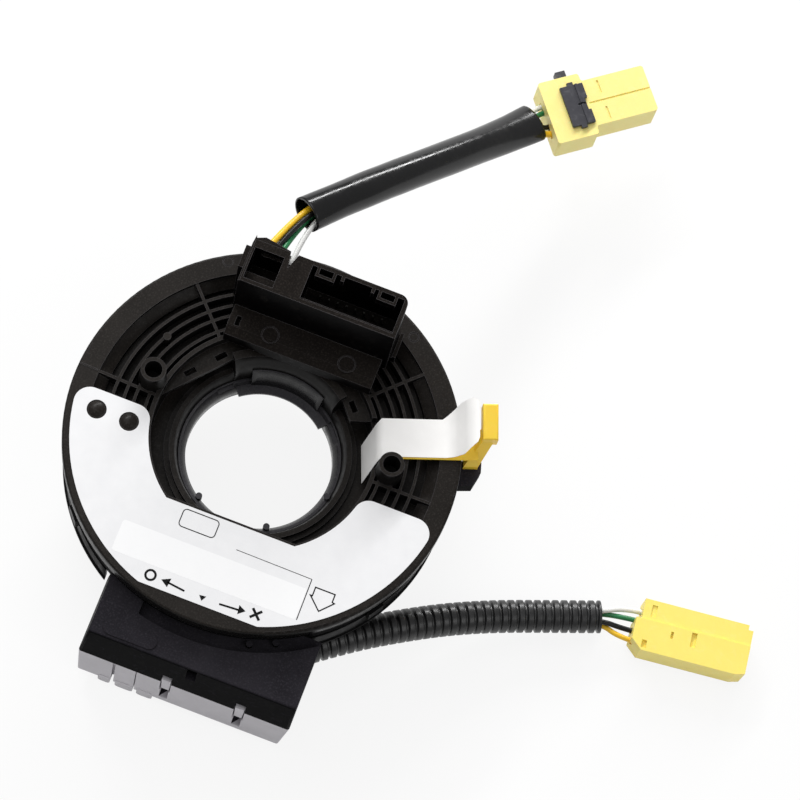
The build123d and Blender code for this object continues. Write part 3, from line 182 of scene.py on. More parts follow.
def edgeShare(nodes, links, radius):
    # 1 along the edges, where a highlight is painted, 0 on flat faces.
    rounded = nodes.new("ShaderNodeBevel")
    rounded.samples = wearAndPaintedLight["edgeSamples"]
    rounded.inputs["Radius"].default_value = radius * mm
    plain = nodes.new("ShaderNodeNewGeometry")
    turn = nodes.new("ShaderNodeVectorMath")
    turn.operation = "DOT_PRODUCT"
    links.new(rounded.outputs["Normal"], turn.inputs[0])
    links.new(plain.outputs["Normal"], turn.inputs[1])
    return spread(nodes, links, turn.outputs["Value"], 1, 0, wearAndPaintedLight["edgeBand"])


def mouldedPlastic(name, spec):
    # Moulded plastic: slow flow marks in the colour, fine spark-eroded grain, small scuffs; where
    # a finish lists them, painted sheen on the upper faces and painted highlights along the edges.
    finish, nodes, links, shader, place = startFinish(name, spec)
    flow = noiseOf(nodes, links, place, "flow")
    grain = noiseOf(nodes, links, place, "spark")
    scuff = noiseOf(nodes, links, place, "scuff")
    flowShare = spread(nodes, links, flow, 0, 1)
    body = mixColours(nodes, links, flowShare, spec["colour"], spec["shade"])
    scuffs = spec.get("scuffs", wearAndPaintedLight["scuffs"])
    scuffShare = spread(nodes, links, scuff, 0, scuffs, wearAndPaintedLight["scuffBand"])
    worn = mixColours(nodes, links, scuffShare, body, spec["worn"])
    # Upper faces get the lighter top tone: painted sheen where the light falls on them.
    if "top" in spec:
        upper = paintedTopSheen(nodes, links, place, spec)
        worn = mixColours(nodes, links, facingUp(nodes, links, place), worn, upper)
    # Edges get the lighter edge colour: a painted highlight.
    if "edge" in spec:
        edges = edgeShare(nodes, links, spec["edgeRadius"])
        worn = mixColours(nodes, links, edges, worn, spec["edge"])
    links.new(worn, shader.inputs["Base Color"])
    smoothest = spec["roughness"] - wearAndPaintedLight["smoother"]
    roughest = spec["roughness"] + wearAndPaintedLight["rougher"]
    links.new(spread(nodes, links, scuff, smoothest, roughest), shader.inputs["Roughness"])
    bumpFrom(nodes, links, shader, grain, spec.get("grain", wearAndPaintedLight["grain"]),
             wearAndPaintedLight["grainDepth"])
    return finish


def tonedFinish(name, spec, surface):
    # A tone between two colours, a roughness that follows it, and a fine bump.
    finish, nodes, links, shader, place = startFinish(name, spec)
    tone = noiseOf(nodes, links, place, surface["tone"])
    share = spread(nodes, links, tone, 0, 1)
    colour = mixColours(nodes, links, share, spec["colour"], spec["shade"])
    links.new(colour, shader.inputs["Base Color"])
    smoothest = spec["roughness"] - surface["smoother"]
    roughest = spec["roughness"] + surface["rougher"]
    links.new(spread(nodes, links, tone, smoothest, roughest), shader.inputs["Roughness"])
    relief = noiseOf(nodes, links, place, surface["relief"])
    bumpFrom(nodes, links, shader, relief, surface["bump"], surface["bumpDepth"])
    return finish


filmSurface = {"tone": "mottle", "relief": "fibre", "bump": 0.06, "bumpDepth": 0.03,
               "smoother": 0.05, "rougher": 0.08}
wireSurface = {"tone": "streak", "relief": "streak", "bump": 0.1, "bumpDepth": 0.05,
               "smoother": 0.05, "rougher": 0.08}
tinSurface = {"tone": "dull", "relief": "dull", "bump": 0.08, "bumpDepth": 0.03,
              "smoother": 0.08, "rougher": 0.12}


def labelFilm(name, spec):
    # Matt printed film with a slight mottle.
    return tonedFinish(name, spec, filmSurface)


def wireInsulation(name, spec):
    # Smooth extruded insulation with faint streaks.
    return tonedFinish(name, spec, wireSurface)


def tinnedMetal(name, spec):
    # Tin plate with dull patches.
    return tonedFinish(name, spec, tinSurface)


# The edge colour in a finish is a painted highlight along the edges.
# top and topShade in a finish are painted sheen: lighter tones for the faces that look up.
finishes = {
    "ringBlack": {
        "make": mouldedPlastic, "roughness": 0.34, "specular": 0.1,
        "colour": (0.0055, 0.0051, 0.0049), "shade": (0.009, 0.0084, 0.008),
        "top": (0.0105, 0.0088, 0.0076), "topShade": (0.0165, 0.014, 0.0122),
        "worn": (0.034, 0.03, 0.027), "edge": (0.075, 0.071, 0.075), "edgeRadius": 0.25,
    },
    "caseBlack": {
        "make": mouldedPlastic, "roughness": 0.38, "specular": 0.003,
        "colour": (0.0032, 0.0031, 0.0034), "shade": (0.0045, 0.0044, 0.0048),
        "top": (0.018, 0.0168, 0.0205), "topShade": (0.031, 0.0288, 0.0345),
        "worn": (0.045, 0.042, 0.05), "edge": (0.03, 0.028, 0.031), "edgeRadius": 0.2,
    },
    "blockBlack": {
        "make": mouldedPlastic, "roughness": 0.38, "specular": 0.03,
        "colour": (0.0018, 0.0014, 0.0016), "shade": (0.0027, 0.0022, 0.0024),
        "top": (0.0085, 0.007, 0.0062), "topShade": (0.0135, 0.0112, 0.01),
        "worn": (0.034, 0.029, 0.025), "edge": (0.1, 0.095, 0.1), "edgeRadius": 0.25,
    },
    "hubBlack": {
        "make": mouldedPlastic, "roughness": 0.24, "specular": 0.2, "grain": 0.12,
        "colour": (0.011, 0.0106, 0.0118), "shade": (0.018, 0.0174, 0.019),
        "top": (0.032, 0.0305, 0.035), "topShade": (0.047, 0.0455, 0.051),
        "worn": (0.06, 0.058, 0.064), "edge": (0.08, 0.077, 0.083), "edgeRadius": 0.2,
    },
    "coverBlack": {
        "make": mouldedPlastic, "roughness": 0.38, "specular": 0.08,
        "colour": (0.005, 0.005, 0.0053), "shade": (0.0075, 0.0075, 0.0078),
        "worn": (0.022, 0.022, 0.022),
    },
    "housingGrey": {
        "make": mouldedPlastic, "roughness": 0.5, "specular": 0.3, "grain": 0.2,
        "colour": (0.6, 0.58, 0.615), "shade": (0.52, 0.505, 0.535),
        "worn": (0.66, 0.645, 0.67),
    },
    "plugYellow": {
        "make": mouldedPlastic, "roughness": 0.42, "specular": 0.35, "grain": 0.15,
        "colour": (0.98, 0.82, 0.195), "shade": (0.96, 0.79, 0.175),
        "worn": (0.96, 0.84, 0.34), "scuffs": 0.25, "subsurface": 0.12, "subsurfaceDepth": 0.001,
    },
    "paleYellow": {
        "make": mouldedPlastic, "roughness": 0.42, "specular": 0.35, "grain": 0.15,
        "colour": (0.93, 0.82, 0.3), "shade": (0.9, 0.78, 0.27),
        "worn": (0.95, 0.87, 0.45), "scuffs": 0.25, "subsurface": 0.12, "subsurfaceDepth": 0.001,
    },
    "tabYellow": {
        "make": mouldedPlastic, "roughness": 0.36, "specular": 0.45, "grain": 0.15,
        "colour": (0.98, 0.68, 0.06), "shade": (0.96, 0.63, 0.05),
        "worn": (0.97, 0.72, 0.14), "scuffs": 0.2, "subsurface": 0.12, "subsurfaceDepth": 0.001,
    },
    "lockGrey": {
        "make": mouldedPlastic, "roughness": 0.38, "specular": 0.4,
        "colour": (0.045, 0.045, 0.054), "shade": (0.034, 0.034, 0.042),
        "worn": (0.12, 0.12, 0.13),
    },
    "conduitBlack": {
        "make": mouldedPlastic, "roughness": 0.34, "specular": 0.55, "grain": 0.15,
        "colour": (0.008, 0.008, 0.0086), "shade": (0.012, 0.012, 0.0126),
        "worn": (0.03, 0.03, 0.031),
    },
    "sleeveBlack": {
        "make": mouldedPlastic, "roughness": 0.17, "specular": 0.38, "grain": 0.03,
        "colour": (0.0042, 0.0042, 0.0045), "shade": (0.006, 0.006, 0.0065),
        "worn": (0.012, 0.012, 0.012), "scuffs": 0.15,
    },
    "labelWhite": {
        "make": labelFilm, "roughness": 0.5, "specular": 0.2,
        "colour": (0.83, 0.83, 0.84), "shade": (0.8, 0.8, 0.812),
    },
    "patchWhite": {
        "make": labelFilm, "roughness": 0.45, "specular": 0.2,
        "colour": (0.9, 0.9, 0.905), "shade": (0.885, 0.885, 0.892),
    },
    "printInk": {
        "make": labelFilm, "roughness": 0.6, "specular": 0.1,
        "colour": (0.004, 0.004, 0.0045), "shade": (0.007, 0.007, 0.0075),
    },
    "stripWhite": {
        "make": labelFilm, "roughness": 0.35, "specular": 0.3,
        "colour": (0.93, 0.92, 0.905), "shade": (0.9, 0.89, 0.875),
    },
    "cableFilm": {
        "make": labelFilm, "roughness": 0.3, "specular": 0.5,
        "colour": (0.45, 0.2, 0.06), "shade": (0.38, 0.16, 0.05),
    },
    "wireWhite": {
        "make": wireInsulation, "roughness": 0.32,
        "colour": (0.82, 0.82, 0.8), "shade": (0.76, 0.76, 0.74),
    },
    "wireGreen": {
        "make": wireInsulation, "roughness": 0.32,
        "colour": (0.02, 0.2, 0.07), "shade": (0.016, 0.16, 0.055),
    },
    "wireBlack": {
        "make": wireInsulation, "roughness": 0.3, "specular": 0.3,
        "colour": (0.006, 0.006, 0.006), "shade": (0.01, 0.01, 0.01),
    },
    "wireYellow": {
        "make": wireInsulation, "roughness": 0.32,
        "colour": (0.92, 0.56, 0.02), "shade": (0.86, 0.5, 0.016),
    },
    "pinTin": {
        "make": tinnedMetal, "roughness": 0.35, "metallic": 1,
        "colour": (0.42, 0.41, 0.38), "shade": (0.34, 0.33, 0.3),
    },
    # Painted shade: the pins deep in the bay get a dark tin colour for the shade there.
    "pinPaintedShade": {
        "make": tinnedMetal, "roughness": 0.5, "metallic": 1,
        "colour": (0.08, 0.078, 0.072), "shade": (0.05, 0.048, 0.044),
    },
}
made = {name: spec["make"](name, spec) for name, spec in finishes.items()}
print("finishes made:", len(made))


def dress(obj, finishName):
    obj.data.materials.clear()
    obj.data.materials.append(made[finishName])


nodeFinish = {
    "stator_case": "caseBlack",
    "back_cover": "coverBlack",
    "connector_housing": "housingGrey",
    "housing_contacts": "pinTin",
    "flat_cable": "cableFilm",
    "lower_connector": "plugYellow",
    "lower_connector_contacts": "pinTin",
    "rotor_disc": "ringBlack",
    "rotor_hub": "hubBlack",
    "upper_block": "blockBlack",
    # The bay's pins take the dark tin: painted shade.
    "bay_contacts": "pinPaintedShade",
    "centre_label": "labelWhite",
    "lock_strip": "stripWhite",
    "lock_tab": "tabYellow",
    "upper_connector": "paleYellow",
    "upper_connector_contacts": "pinTin",
    "connector_lock": "lockGrey",
}
for nodeName, finishName in nodeFinish.items():
    dress(cadNodes[nodeName], finishName)
print("solids dressed:", len(nodeFinish))


# Rounding of the moulded edges in mm, for each solid.
edgeRounds = {
    "stator_case": 0.22, "back_cover": 0.2, "connector_housing": 0.2, "rotor_disc": 0.16,
    "rotor_hub": 0.16, "upper_block": 0.22, "lower_connector": 0.3, "upper_connector": 0.3,
    "connector_lock": 0.15, "lock_tab": 0.2,
}
edgeSoftening = {
    "weld": 0.004,
    "segments": 2,
    "sharpest": 35,
}


def softenEdges(obj, width, spec):
    weld = obj.modifiers.new("weld", "WELD")
    weld.merge_threshold = spec["weld"] * mm
    rounding = obj.modifiers.new("rounding", "BEVEL")
    rounding.width = width * mm
    rounding.segments = spec["segments"]
    rounding.limit_method = "ANGLE"
    rounding.angle_limit = math.radians(spec["sharpest"])
    rounding.harden_normals = True
    rounding.use_clamp_overlap = True


for nodeName, width in edgeRounds.items():
    softenEdges(cadNodes[nodeName], width, edgeSoftening)
print("edges softened")


latchWindows = {
    "places": (-1.2, 19.95),
    "halfWidth": 1.7,
    "front": -66.2,
    "back": -63.0,
    "top": -16.5,
}


def darkenLatches(housing, spec):
    # The housing's faces in the channel below each latch take the black case finish.
    housing.data.materials.append(made["caseBlack"])
    darkSlot = len(housing.data.materials) - 1
    for face in housing.data.polygons:
        x, y, z = (value / mm for value in face.center)
        beside = min(abs(x - place) for place in spec["places"])
        if beside < spec["halfWidth"] and spec["front"] < y < spec["back"] and z < spec["top"]:
            face.material_index = darkSlot


darkenLatches(cadNodes["connector_housing"], latchWindows)
print("latches darkened")


curveFineness = {
    "along": 16,
    "around": 6,
}


def clamped(value):
    return min(1, max(0, value))


def headingVector(angle):
    return Vector((math.cos(math.radians(angle)), math.sin(math.radians(angle)), 0))


def routeCurve(name, points, bevel=0):
    data = bpy.data.curves.new(name, "CURVE")
    data.dimensions = "3D"
    data.bevel_depth = bevel
    data.bevel_resolution = curveFineness["around"]
    data.use_fill_caps = True
    data.resolution_u = curveFineness["along"]
    spline = data.splines.new("NURBS")
    spline.points.add(len(points) - 1)
    for point, place in zip(spline.points, points):
        point.co = (*(Vector(place) * mm), 1)
    spline.use_endpoint_u = True
    spline.order_u = 3
    curve = bpy.data.objects.new(name, data)
    scene.collection.objects.link(curve)
    return curve


def centreline(points):
    # The smooth line of a route, as points along it.
    curve = routeCurve("lineGuide", points)
    bpy.context.view_layer.update()
    mesh = bpy.data.meshes.new_from_object(curve)
    line = [vertex.co.copy() for vertex in mesh.vertices]
    bpy.data.objects.remove(curve)
    bpy.data.meshes.remove(mesh)
    return line


def runningLengths(line):
    # How far along the line each of its points is.
    lengths = [0.0]
    for first, second in zip(line, line[1:]):
        lengths.append(lengths[-1] + (second - first).length)
    return lengths


def spaced(line, count):
    # The line again, at even steps.
    lengths = runningLengths(line)
    even = []
    span = 0
    for step in range(count):
        target = lengths[-1] * step / (count - 1)
        while span < len(line) - 2 and lengths[span + 1] < target:
            span += 1
        share = (target - lengths[span]) / max(lengths[span + 1] - lengths[span], 1e-9)
        even.append(line[span].lerp(line[span + 1], clamped(share)))
    return even


def sectionFrames(line):
    # A sideways and an upward direction at each point, without twist.
    frames = []
    side = None
    for index in range(len(line)):
        ahead = line[min(index + 1, len(line) - 1)] - line[max(index - 1, 0)]
        ahead.normalize()
        if side is None:
            side = ahead.cross(Vector((0, 0, 1))).normalized()
        side = (side - ahead * side.dot(ahead)).normalized()
        frames.append((side, side.cross(ahead).normalized()))
    return frames


def tubeMesh(name, line, outer, inner, around):
    # outer and inner give a point's two half widths at a share of the length.
    frames = sectionFrames(line)
    build = bmesh.new()
    rings = []
    count = len(line)
    for walls in (outer, inner):
        for step in range(count) if walls is outer else reversed(range(count)):
            wide, tall = walls(step / (count - 1))
            side, up = frames[step]
            ring = []
            for corner in range(around):
                turn = 2 * math.pi * corner / around
                offset = side * (wide * math.cos(turn)) + up * (tall * math.sin(turn))
                ring.append(build.verts.new(line[step] + offset))
            rings.append(ring)
    for first, second in zip(rings, rings[1:] + rings[:1]):
        for corner in range(around):
            follow = (corner + 1) % around
            build.faces.new((first[corner], first[follow], second[follow], second[corner]))
    bmesh.ops.recalc_face_normals(build, faces=build.faces)
    mesh = bpy.data.meshes.new(name)
    build.to_mesh(mesh)
    build.free()
    for face in mesh.polygons:
        face.use_smooth = True
    tube = bpy.data.objects.new(name, mesh)
    scene.collection.objects.link(tube)
    return tube


lowerLead = {
    "route": ((28.0, -44.1, -8.8), (39.6, -34.9, -9.3), (51.5, -26.6, -11.4),
              (63.6, -18.8, -14.2), (76.4, -12.1, -16.5), (90.0, -6.5, -17.4),
              (104.0, -1.1, -17.4)),
    "heading": 30.0,
    "diameter": 9.2,
    "length": 88.5,
    "bore": 3.4,
    "groove": 3.85,
    "pitch": 2.56,
    "grooveShare": 0.34,
    "flankShare": 0.3,
    "steps": 560,
    "around": 40,
    "plugGap": 11.2,
    "plugHeading": 6.5,
    "plugTail": 1.6,
    "leadIn": 3.0,
    "seat": 2.0,
    "wireRadius": 0.75,
    # across the conduit, lift in it, across the plug, length
    "wires": {"white": (1.3, 1.1, 4.4, 102.8), "green": (1.3, -1.1, 1.7, 102.2),
              "black": (-1.3, 1.1, -1.6, 101.2), "yellow": (-1.3, -1.1, -4.4, 101.6)},
}


def makeConduit(lead):
    # Corrugated conduit: rounded crests with narrow grooves between them.
    path = centreline(lead["route"])
    line = spaced(path, lead["steps"])
    crest = lead["diameter"] / 2 * mm
    groove = lead["groove"] * mm
    turns = round(runningLengths(path)[-1] / (lead["pitch"] * mm))

    def outer(share):
        wave = abs(math.cos(math.pi * ((share * turns) % 1)))
        rise = clamped((wave - lead["grooveShare"]) / lead["flankShare"])
        rise = rise * rise * (3 - 2 * rise)
        return (groove + (crest - groove) * rise,) * 2

    def inner(share):
        return (lead["bore"] * mm,) * 2

    conduit = tubeMesh("cableConduit", line, outer, inner, lead["around"])
    dress(conduit, "conduitBlack")
    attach(conduit, "stator")
    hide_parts("cable_conduit")


crimp = {
    "wall": 0.16,
    "length": 1.6,
    "around": 20,
}


def makeCrimp(name, tip, ahead, radius, body):
    # The crimped barrel that holds a wire's end inside its plug.
    line = [(tip - ahead * (crimp["length"] * (1 - share))) * mm for share in (0, 0.5, 1)]
    barrel = tubeMesh(name, line, lambda share: ((radius + crimp["wall"]) * mm,) * 2,
                      lambda share: (radius * mm,) * 2, crimp["around"])
    dress(barrel, "pinTin")
    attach(barrel, body)
    return barrel


def makeWire(end, colour, points, radius, body, pieces):
    # A lead's first wire gets no crimp, and each of the others gets its own crimp.
    name = end + "Wire" + colour.title()
    if not pieces:
        ahead = (points[-1] - points[-2]).normalized()
        pieces = [makeCrimp(name + "Crimp", points[-1], ahead, radius, body)]
    wire = routeCurve(name, points, radius * mm)
    dress(wire, "wire" + colour.title())
    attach(wire, body)
    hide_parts(end + "_wire_" + colour)


def makeLowerWires(lead):
    aheadPlug = headingVector(lead["plugHeading"])
    leftPlug = headingVector(lead["plugHeading"] + 90)
    leftSide = headingVector(lead["heading"] + 90)
    plugPlace = Vector(lead["route"][-1]) + aheadPlug * lead["plugGap"]
    pieces = [cadNodes["lower_connector"], cadNodes["lower_connector_contacts"]]
    for colour, (across, lift, apart, length) in lead["wires"].items():
        aside = leftSide * across + Vector((0, 0, lift))
        points = [Vector(place) + aside for place in lead["route"]]
        for along in (-lead["plugTail"] - lead["leadIn"], lead["seat"]):
            points.append(plugPlace + aheadPlug * along + leftPlug * apart)
        makeWire("lower", colour, points, lead["wireRadius"], "stator", pieces)
        pieces = []


makeConduit(lowerLead)
makeLowerWires(lowerLead)
print("lower lead made")


upperLead = {
    "route": ((-13.6, 44.6, 41.8), (-10.8, 57.0, 41.2), (-1.6, 68.8, 37.2), (8.2, 82.0, 30.0),
              (18.4, 96.2, 20.8), (28.4, 110.8, 10.8), (33.2, 117.9, 6.4), (37.2, 123.8, 3.3)),
    "heading": 54.0,
    "diameter": 9.8,
    "length": 90.9,
    "bore": 4.25,
    "steps": 150,
    "around": 56,
    # pressed flat towards the plug, a little oval where the wires enter, and slightly uneven
    "flatFrom": 0.55,
    "flatWider": 0.2,
    "flatThinner": 0.3,
    "entryTo": 0.12,
    "entryWider": 0.05,
    "entryThinner": 0.08,
    "wave": 0.02,
    "waveCount": 9,
    "waveSeed": (0.3, 0.7),
    "twist": 180.0,
    "bundle": 1.7,
    "plugPlace": (40.4, 126.9, 1.6),
    "plugHeading": 38.0,
    "leadIn": 1.0,
    "seat": 3.2,
    # The white wire comes up in the gap beside the tower.
    "starts": {"white": (-9.6, 41.8, 40.6)},
    # across the tower, angle round the bundle, across the sleeve's end, across the plug,
    # radius, length
    "wires": {"yellow": (-3.0, 0, -3.0, -4.7, 0.95, 112.6),
              "black": (-1.1, 90, -1.0, -2.4, 0.75, 112.4),
              "green": (0.6, 270, 0.9, 2.4, 0.75, 111.4),
              "white": (2.2, 180, 2.7, 4.4, 0.75, 111.5)},
}


def makeSleeve(lead):
    # Smooth vinyl sleeve.
    line = spaced(centreline(lead["route"][1:]), lead["steps"])
    radius = lead["diameter"] / 2 * mm
    wall = radius - lead["bore"] * mm

    def outer(share):
        flat = clamped((share - lead["flatFrom"]) / (1 - lead["flatFrom"])) ** 2
        entry = clamped((lead["entryTo"] - share) / lead["entryTo"])
        place = Vector((share * lead["waveCount"], *lead["waveSeed"]))
        wave = noise.noise(place) * lead["wave"]
        wide = 1 + lead["flatWider"] * flat + lead["entryWider"] * entry + wave
        tall = 1 - lead["flatThinner"] * flat - lead["entryThinner"] * entry - wave
        return radius * wide, radius * tall

    def inner(share):
        wide, tall = outer(share)
        return wide - wall, tall - wall

    sleeve = tubeMesh("wireSleeve", line, outer, inner, lead["around"])
    dress(sleeve, "sleeveBlack")
    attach(sleeve, "rotor")
    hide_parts("wire_sleeve")


def bundledPoints(lead, start, angle, squeeze):
    # A wire's way through the sleeve, where the bundle turns half round.
    leftSide = headingVector(lead["heading"] + 90)
    last = len(lead["route"]) - 2
    points = [start]
    for step, place in enumerate(lead["route"][1:]):
        turned = math.radians(angle + lead["twist"] * min(step, last - 1) / last)
        aside = leftSide * (lead["bundle"] * math.cos(turned))
        rise = Vector((0, 0, lead["bundle"] * math.sin(turned)))
        points.append(Vector(place) + aside + rise)
    points[-1] = Vector(lead["route"][-1]) + leftSide * squeeze
    return points


def makeUpperWires(lead):
    aheadPlug = headingVector(lead["plugHeading"])
    leftPlug = headingVector(lead["plugHeading"] + 90)
    plugPlace = Vector(lead["plugPlace"])
    pieces = [cadNodes["upper_connector"], cadNodes["upper_connector_contacts"],
              cadNodes["connector_lock"]]
    for colour, (across, angle, squeeze, apart, radius, length) in lead["wires"].items():
        start = Vector(lead["route"][0]) + Vector((across, 0, 0))
        start = Vector(lead["starts"].get(colour, start))
        points = bundledPoints(lead, start, angle, squeeze)
        for along in (-lead["leadIn"], lead["seat"]):
            points.append(plugPlace + aheadPlug * along + leftPlug * apart)
        makeWire("upper", colour, points, radius, "rotor", pieces)
        pieces = []


makeSleeve(upperLead)
makeUpperWires(upperLead)
print("upper lead made")


labelPrint = {
    "height": 20.6,
    "ink": 0.03,
    "lift": 0.01,
    "overlap": 0.002,  # keeps crossing strokes and the patch off the faces below them
    # centre, outer and inner radius
    "ring": ((-14.4, -46.4), 1.66, 1.04),
    "ringCorners": 48,
    # centre, reach, width
    "cross": ((15.35, -46.15), 1.85, 0.7),
    # start, end, width
    "strokes": (((-4.5, -47.2), (-9.6, -46.6), 0.52),
                ((5.3, -47.1), (10.6, -46.75), 0.52),
                ((4.2, -31.5), (25.8, -31.7), 0.16),
                ((25.8, -31.7), (25.85, -43.6), 0.24)),
    "shapes": (((-8.9, -45.3), (-11.3, -46.5), (-9.2, -47.9)),
               ((10.4, -45.4), (12.5, -46.4), (10.7, -47.9)),
               ((-0.5, -46.7), (0.6, -48.0), (1.45, -46.5))),
    "arrowFrame": ((27.3, -33.2), (33.2, -33.2), (33.2, -35.5), (34.0, -35.7), (30.5, -39.5),
                   (26.5, -35.7), (27.3, -35.7)),
    "arrowStroke": 0.34,
    # centre, width, depth, corner, stroke
    "frame": ((-7.6, -28.4), 10.4, 5.3, 1.2, 0.26),
    # two corners and their rounding
    "patch": ((-26.6, -43.7), (25.5, -34.7), 0.8),
    "cornerSteps": 6,
}


def addPrism(build, outline, low, high):
    bottom = [build.verts.new((x * mm, y * mm, low * mm)) for x, y in outline]
    top = [build.verts.new((x * mm, y * mm, high * mm)) for x, y in outline]
    build.faces.new(top)
    build.faces.new(list(reversed(bottom)))
    for index in range(len(outline)):
        follow = (index + 1) % len(outline)
        build.faces.new((bottom[index], bottom[follow], top[follow], top[index]))


def addBand(build, outer, inner, low, high):
    # A flat closed band between two outlines with as many points each.
    levels = []
    for outline, z in ((outer, low), (outer, high), (inner, high), (inner, low)):
        levels.append([build.verts.new((x * mm, y * mm, z * mm)) for x, y in outline])
    count = len(outer)
    for first, second in zip(levels, levels[1:] + levels[:1]):
        for index in range(count):
            follow = (index + 1) % count
            build.faces.new((first[index], first[follow], second[follow], second[index]))


def strokeOutline(start, end, width):
    start, end = Vector(start), Vector(end)
    aside = Vector((start.y - end.y, end.x - start.x)).normalized() * (width / 2)
    return [tuple(start + aside), tuple(start - aside), tuple(end - aside), tuple(end + aside)]


def circleOutline(centre, radius, count):
    turns = [2 * math.pi * index / count for index in range(count)]
    return [(centre[0] + radius * math.cos(turn), centre[1] + radius * math.sin(turn))
            for turn in turns]


def roundedOutline(centre, width, depth, corner, steps):
    outline = []
    for quarter, (x, y) in enumerate(((1, 1), (-1, 1), (-1, -1), (1, -1))):
        middle = (centre[0] + x * (width / 2 - corner), centre[1] + y * (depth / 2 - corner))
        for step in range(steps + 1):
            turn = math.radians(90 * (quarter + step / steps))
            outline.append((middle[0] + corner * math.cos(turn),
                            middle[1] + corner * math.sin(turn)))
    return outline


def shrunkOutline(outline, width):
    # Each corner moved in along its bisector.
    inner = []
    count = len(outline)
    for index in range(count):
        before, corner, after = (Vector(outline[(index + step) % count]) for step in (-1, 0, 1))
        first = (corner - before).normalized()
        second = (after - corner).normalized()
        normal = (Vector((first.y, -first.x)) + Vector((second.y, -second.x))) / 2
        inner.append(tuple(corner + normal * (width / normal.length_squared)))
    return inner


def finishPrint(build, name, finishName):
    bmesh.ops.recalc_face_normals(build, faces=build.faces)
    mesh = bpy.data.meshes.new(name)
    build.to_mesh(mesh)
    build.free()
    piece = bpy.data.objects.new(name, mesh)
    scene.collection.objects.link(piece)
    dress(piece, finishName)
    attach(piece, "rotor")


def makeLabelMarks(spec):
    low = spec["height"] + spec["lift"]
    high = low + spec["ink"]
    build = bmesh.new()
    centre, outer, inner = spec["ring"]
    addBand(build, circleOutline(centre, outer, spec["ringCorners"]),
            circleOutline(centre, inner, spec["ringCorners"]), low, high)
    centre, reach, width = spec["cross"]
    for turn, lift in ((45, 0), (135, spec["overlap"])):
        arm = headingVector(turn).to_2d() * reach
        outline = strokeOutline(Vector(centre) - arm, Vector(centre) + arm, width)
        addPrism(build, outline, low, high + lift)
    for start, end, width in spec["strokes"]:
        addPrism(build, strokeOutline(start, end, width), low, high)
    for outline in spec["shapes"]:
        addPrism(build, outline, low, high)
    outline = spec["arrowFrame"]
    addBand(build, outline, shrunkOutline(outline, spec["arrowStroke"]), low, high)
    centre, width, depth, corner, stroke = spec["frame"]
    steps = spec["cornerSteps"]
    inside = roundedOutline(centre, width - 2 * stroke, depth - 2 * stroke, corner - stroke, steps)
    addBand(build, roundedOutline(centre, width, depth, corner, steps), inside, low, high)
    finishPrint(build, "labelMarks", "printInk")


def makeLabelPatch(spec):
    # The plain whiter field, just under the marks.
    (left, front), (right, back), corner = spec["patch"]
    centre = ((left + right) / 2, (front + back) / 2)
    outline = roundedOutline(centre, right - left, back - front, corner, spec["cornerSteps"])
    build = bmesh.new()
    addPrism(build, outline, spec["height"] + spec["overlap"], spec["height"] + spec["lift"])
    finishPrint(build, "labelPatch", "patchWhite")


makeLabelMarks(labelPrint)
makeLabelPatch(labelPrint)
print("label printed")


studio = {
    "floorLift": -23.7,
    "floorSize": 6.0,
    "floorColour": (0.9, 0.9, 0.9),
    "floorRoughness": 0.9,
    "floorSpecular": 0.1,
    "floorGlow": 0.86,
    "worldLight": 0.4,
    "lampTarget": (0.02, 0.05, 0.01),
    "lamps": {
        "stripLamp": {"place": (-0.245, 0.905, 0.52), "along": (0.76, 0.51, -0.45),
                      "size": (1.35, 0.09), "power": 13.5},
        "overheadLamp": {"place": (-0.5, 0.3, 1.15), "along": (1, 0, 0),
                         "size": (0.9, 0.9), "power": 4.4},
        "rightLamp": {"place": (0.75, -0.25, 0.85), "along": (1, 0, 0),
                      "size": (0.5, 0.5), "power": 1.4},
    },
}


def backgroundShare(nodes, links, amount):
    # amount where the background is seen straight, in a reflection or through a clear piece.
    path = nodes.new("ShaderNodeLightPath")
    share = path.outputs["Is Camera Ray"]
    for ray in ("Is Glossy Ray", "Is Transmission Ray"):
        most = nodes.new("ShaderNodeMath")
        most.operation = "MAXIMUM"
        links.new(share, most.inputs[0])
        links.new(path.outputs[ray], most.inputs[1])
        share = most.outputs["Value"]
    scaled = nodes.new("ShaderNodeMath")
    scaled.operation = "MULTIPLY"
    scaled.inputs[1].default_value = amount
    links.new(share, scaled.inputs[0])
    return scaled.outputs["Value"]


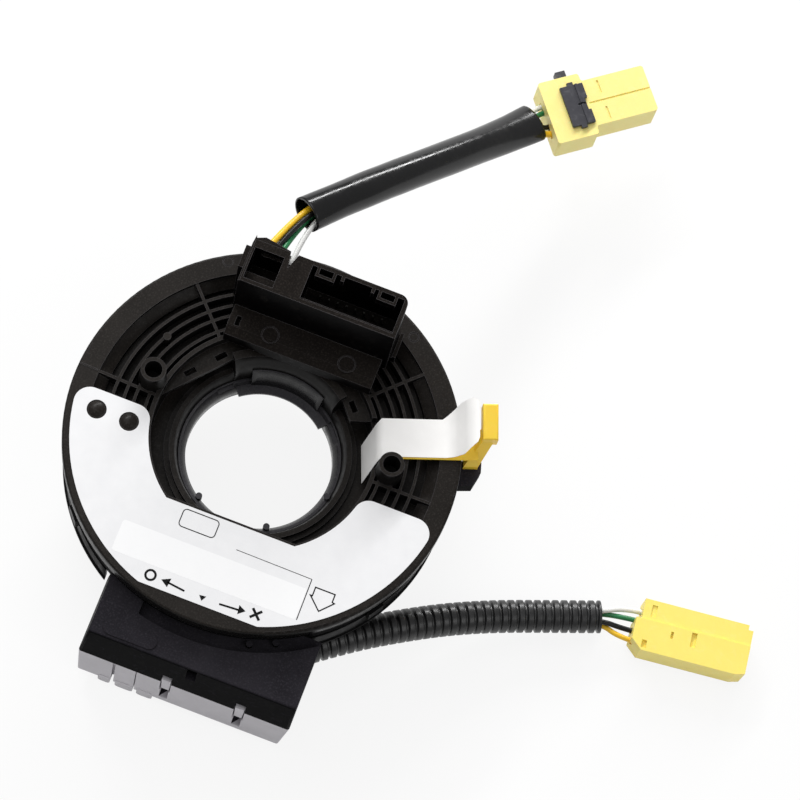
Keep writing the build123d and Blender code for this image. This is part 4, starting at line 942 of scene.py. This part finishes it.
def makeFloorPaint(spec):
    paint = bpy.data.materials.new("floorPaint")
    paint.use_nodes = True
    nodes, links = paint.node_tree.nodes, paint.node_tree.links
    shader = nodes["Principled BSDF"]
    shader.inputs["Base Color"].default_value = (*spec["floorColour"], 1)
    shader.inputs["Roughness"].default_value = spec["floorRoughness"]
    shader.inputs["Specular IOR Level"].default_value = spec["floorSpecular"]
    glow = nodes.new("ShaderNodeEmission")
    glow.inputs["Color"].default_value = (1, 1, 1, 1)
    blend = nodes.new("ShaderNodeMixShader")
    links.new(backgroundShare(nodes, links, spec["floorGlow"]), blend.inputs["Fac"])
    links.new(shader.outputs["BSDF"], blend.inputs[1])
    links.new(glow.outputs["Emission"], blend.inputs[2])
    links.new(blend.outputs["Shader"], nodes["Material Output"].inputs["Surface"])
    return paint


def makeFloor(spec):
    half = spec["floorSize"] / 2
    build = bmesh.new()
    corners = [build.verts.new((x * half, y * half, spec["floorLift"] * mm))
               for x, y in ((-1, -1), (1, -1), (1, 1), (-1, 1))]
    build.faces.new(corners)
    mesh = bpy.data.meshes.new("studioFloor")
    build.to_mesh(mesh)
    build.free()
    floor = bpy.data.objects.new("studioFloor", mesh)
    scene.collection.objects.link(floor)
    mesh.materials.append(makeFloorPaint(spec))


def makeWorld(spec):
    world = bpy.data.worlds.new("studioWorld")
    world.use_nodes = True
    light = world.node_tree.nodes["Background"]
    light.inputs["Color"].default_value = (1, 1, 1, 1)
    light.inputs["Strength"].default_value = spec["worldLight"]
    scene.world = world


def makeLamps(spec):
    target = Vector(spec["lampTarget"])
    for name, lamp in spec["lamps"].items():
        data = bpy.data.lights.new(name, "AREA")
        data.shape = "RECTANGLE"
        data.size, data.size_y = lamp["size"]
        data.energy = lamp["power"]
        obj = bpy.data.objects.new(name, data)
        scene.collection.objects.link(obj)
        place = Vector(lamp["place"])
        back = (place - target).normalized()
        side = Vector(lamp["along"])
        side = (side - back * side.dot(back)).normalized()
        turn = Matrix((side, back.cross(side), back)).transposed().to_4x4()
        obj.matrix_world = Matrix.Translation(place) @ turn


makeFloor(studio)
makeWorld(studio)
makeLamps(studio)
scene.view_settings.view_transform = "Standard"
print("studio set")
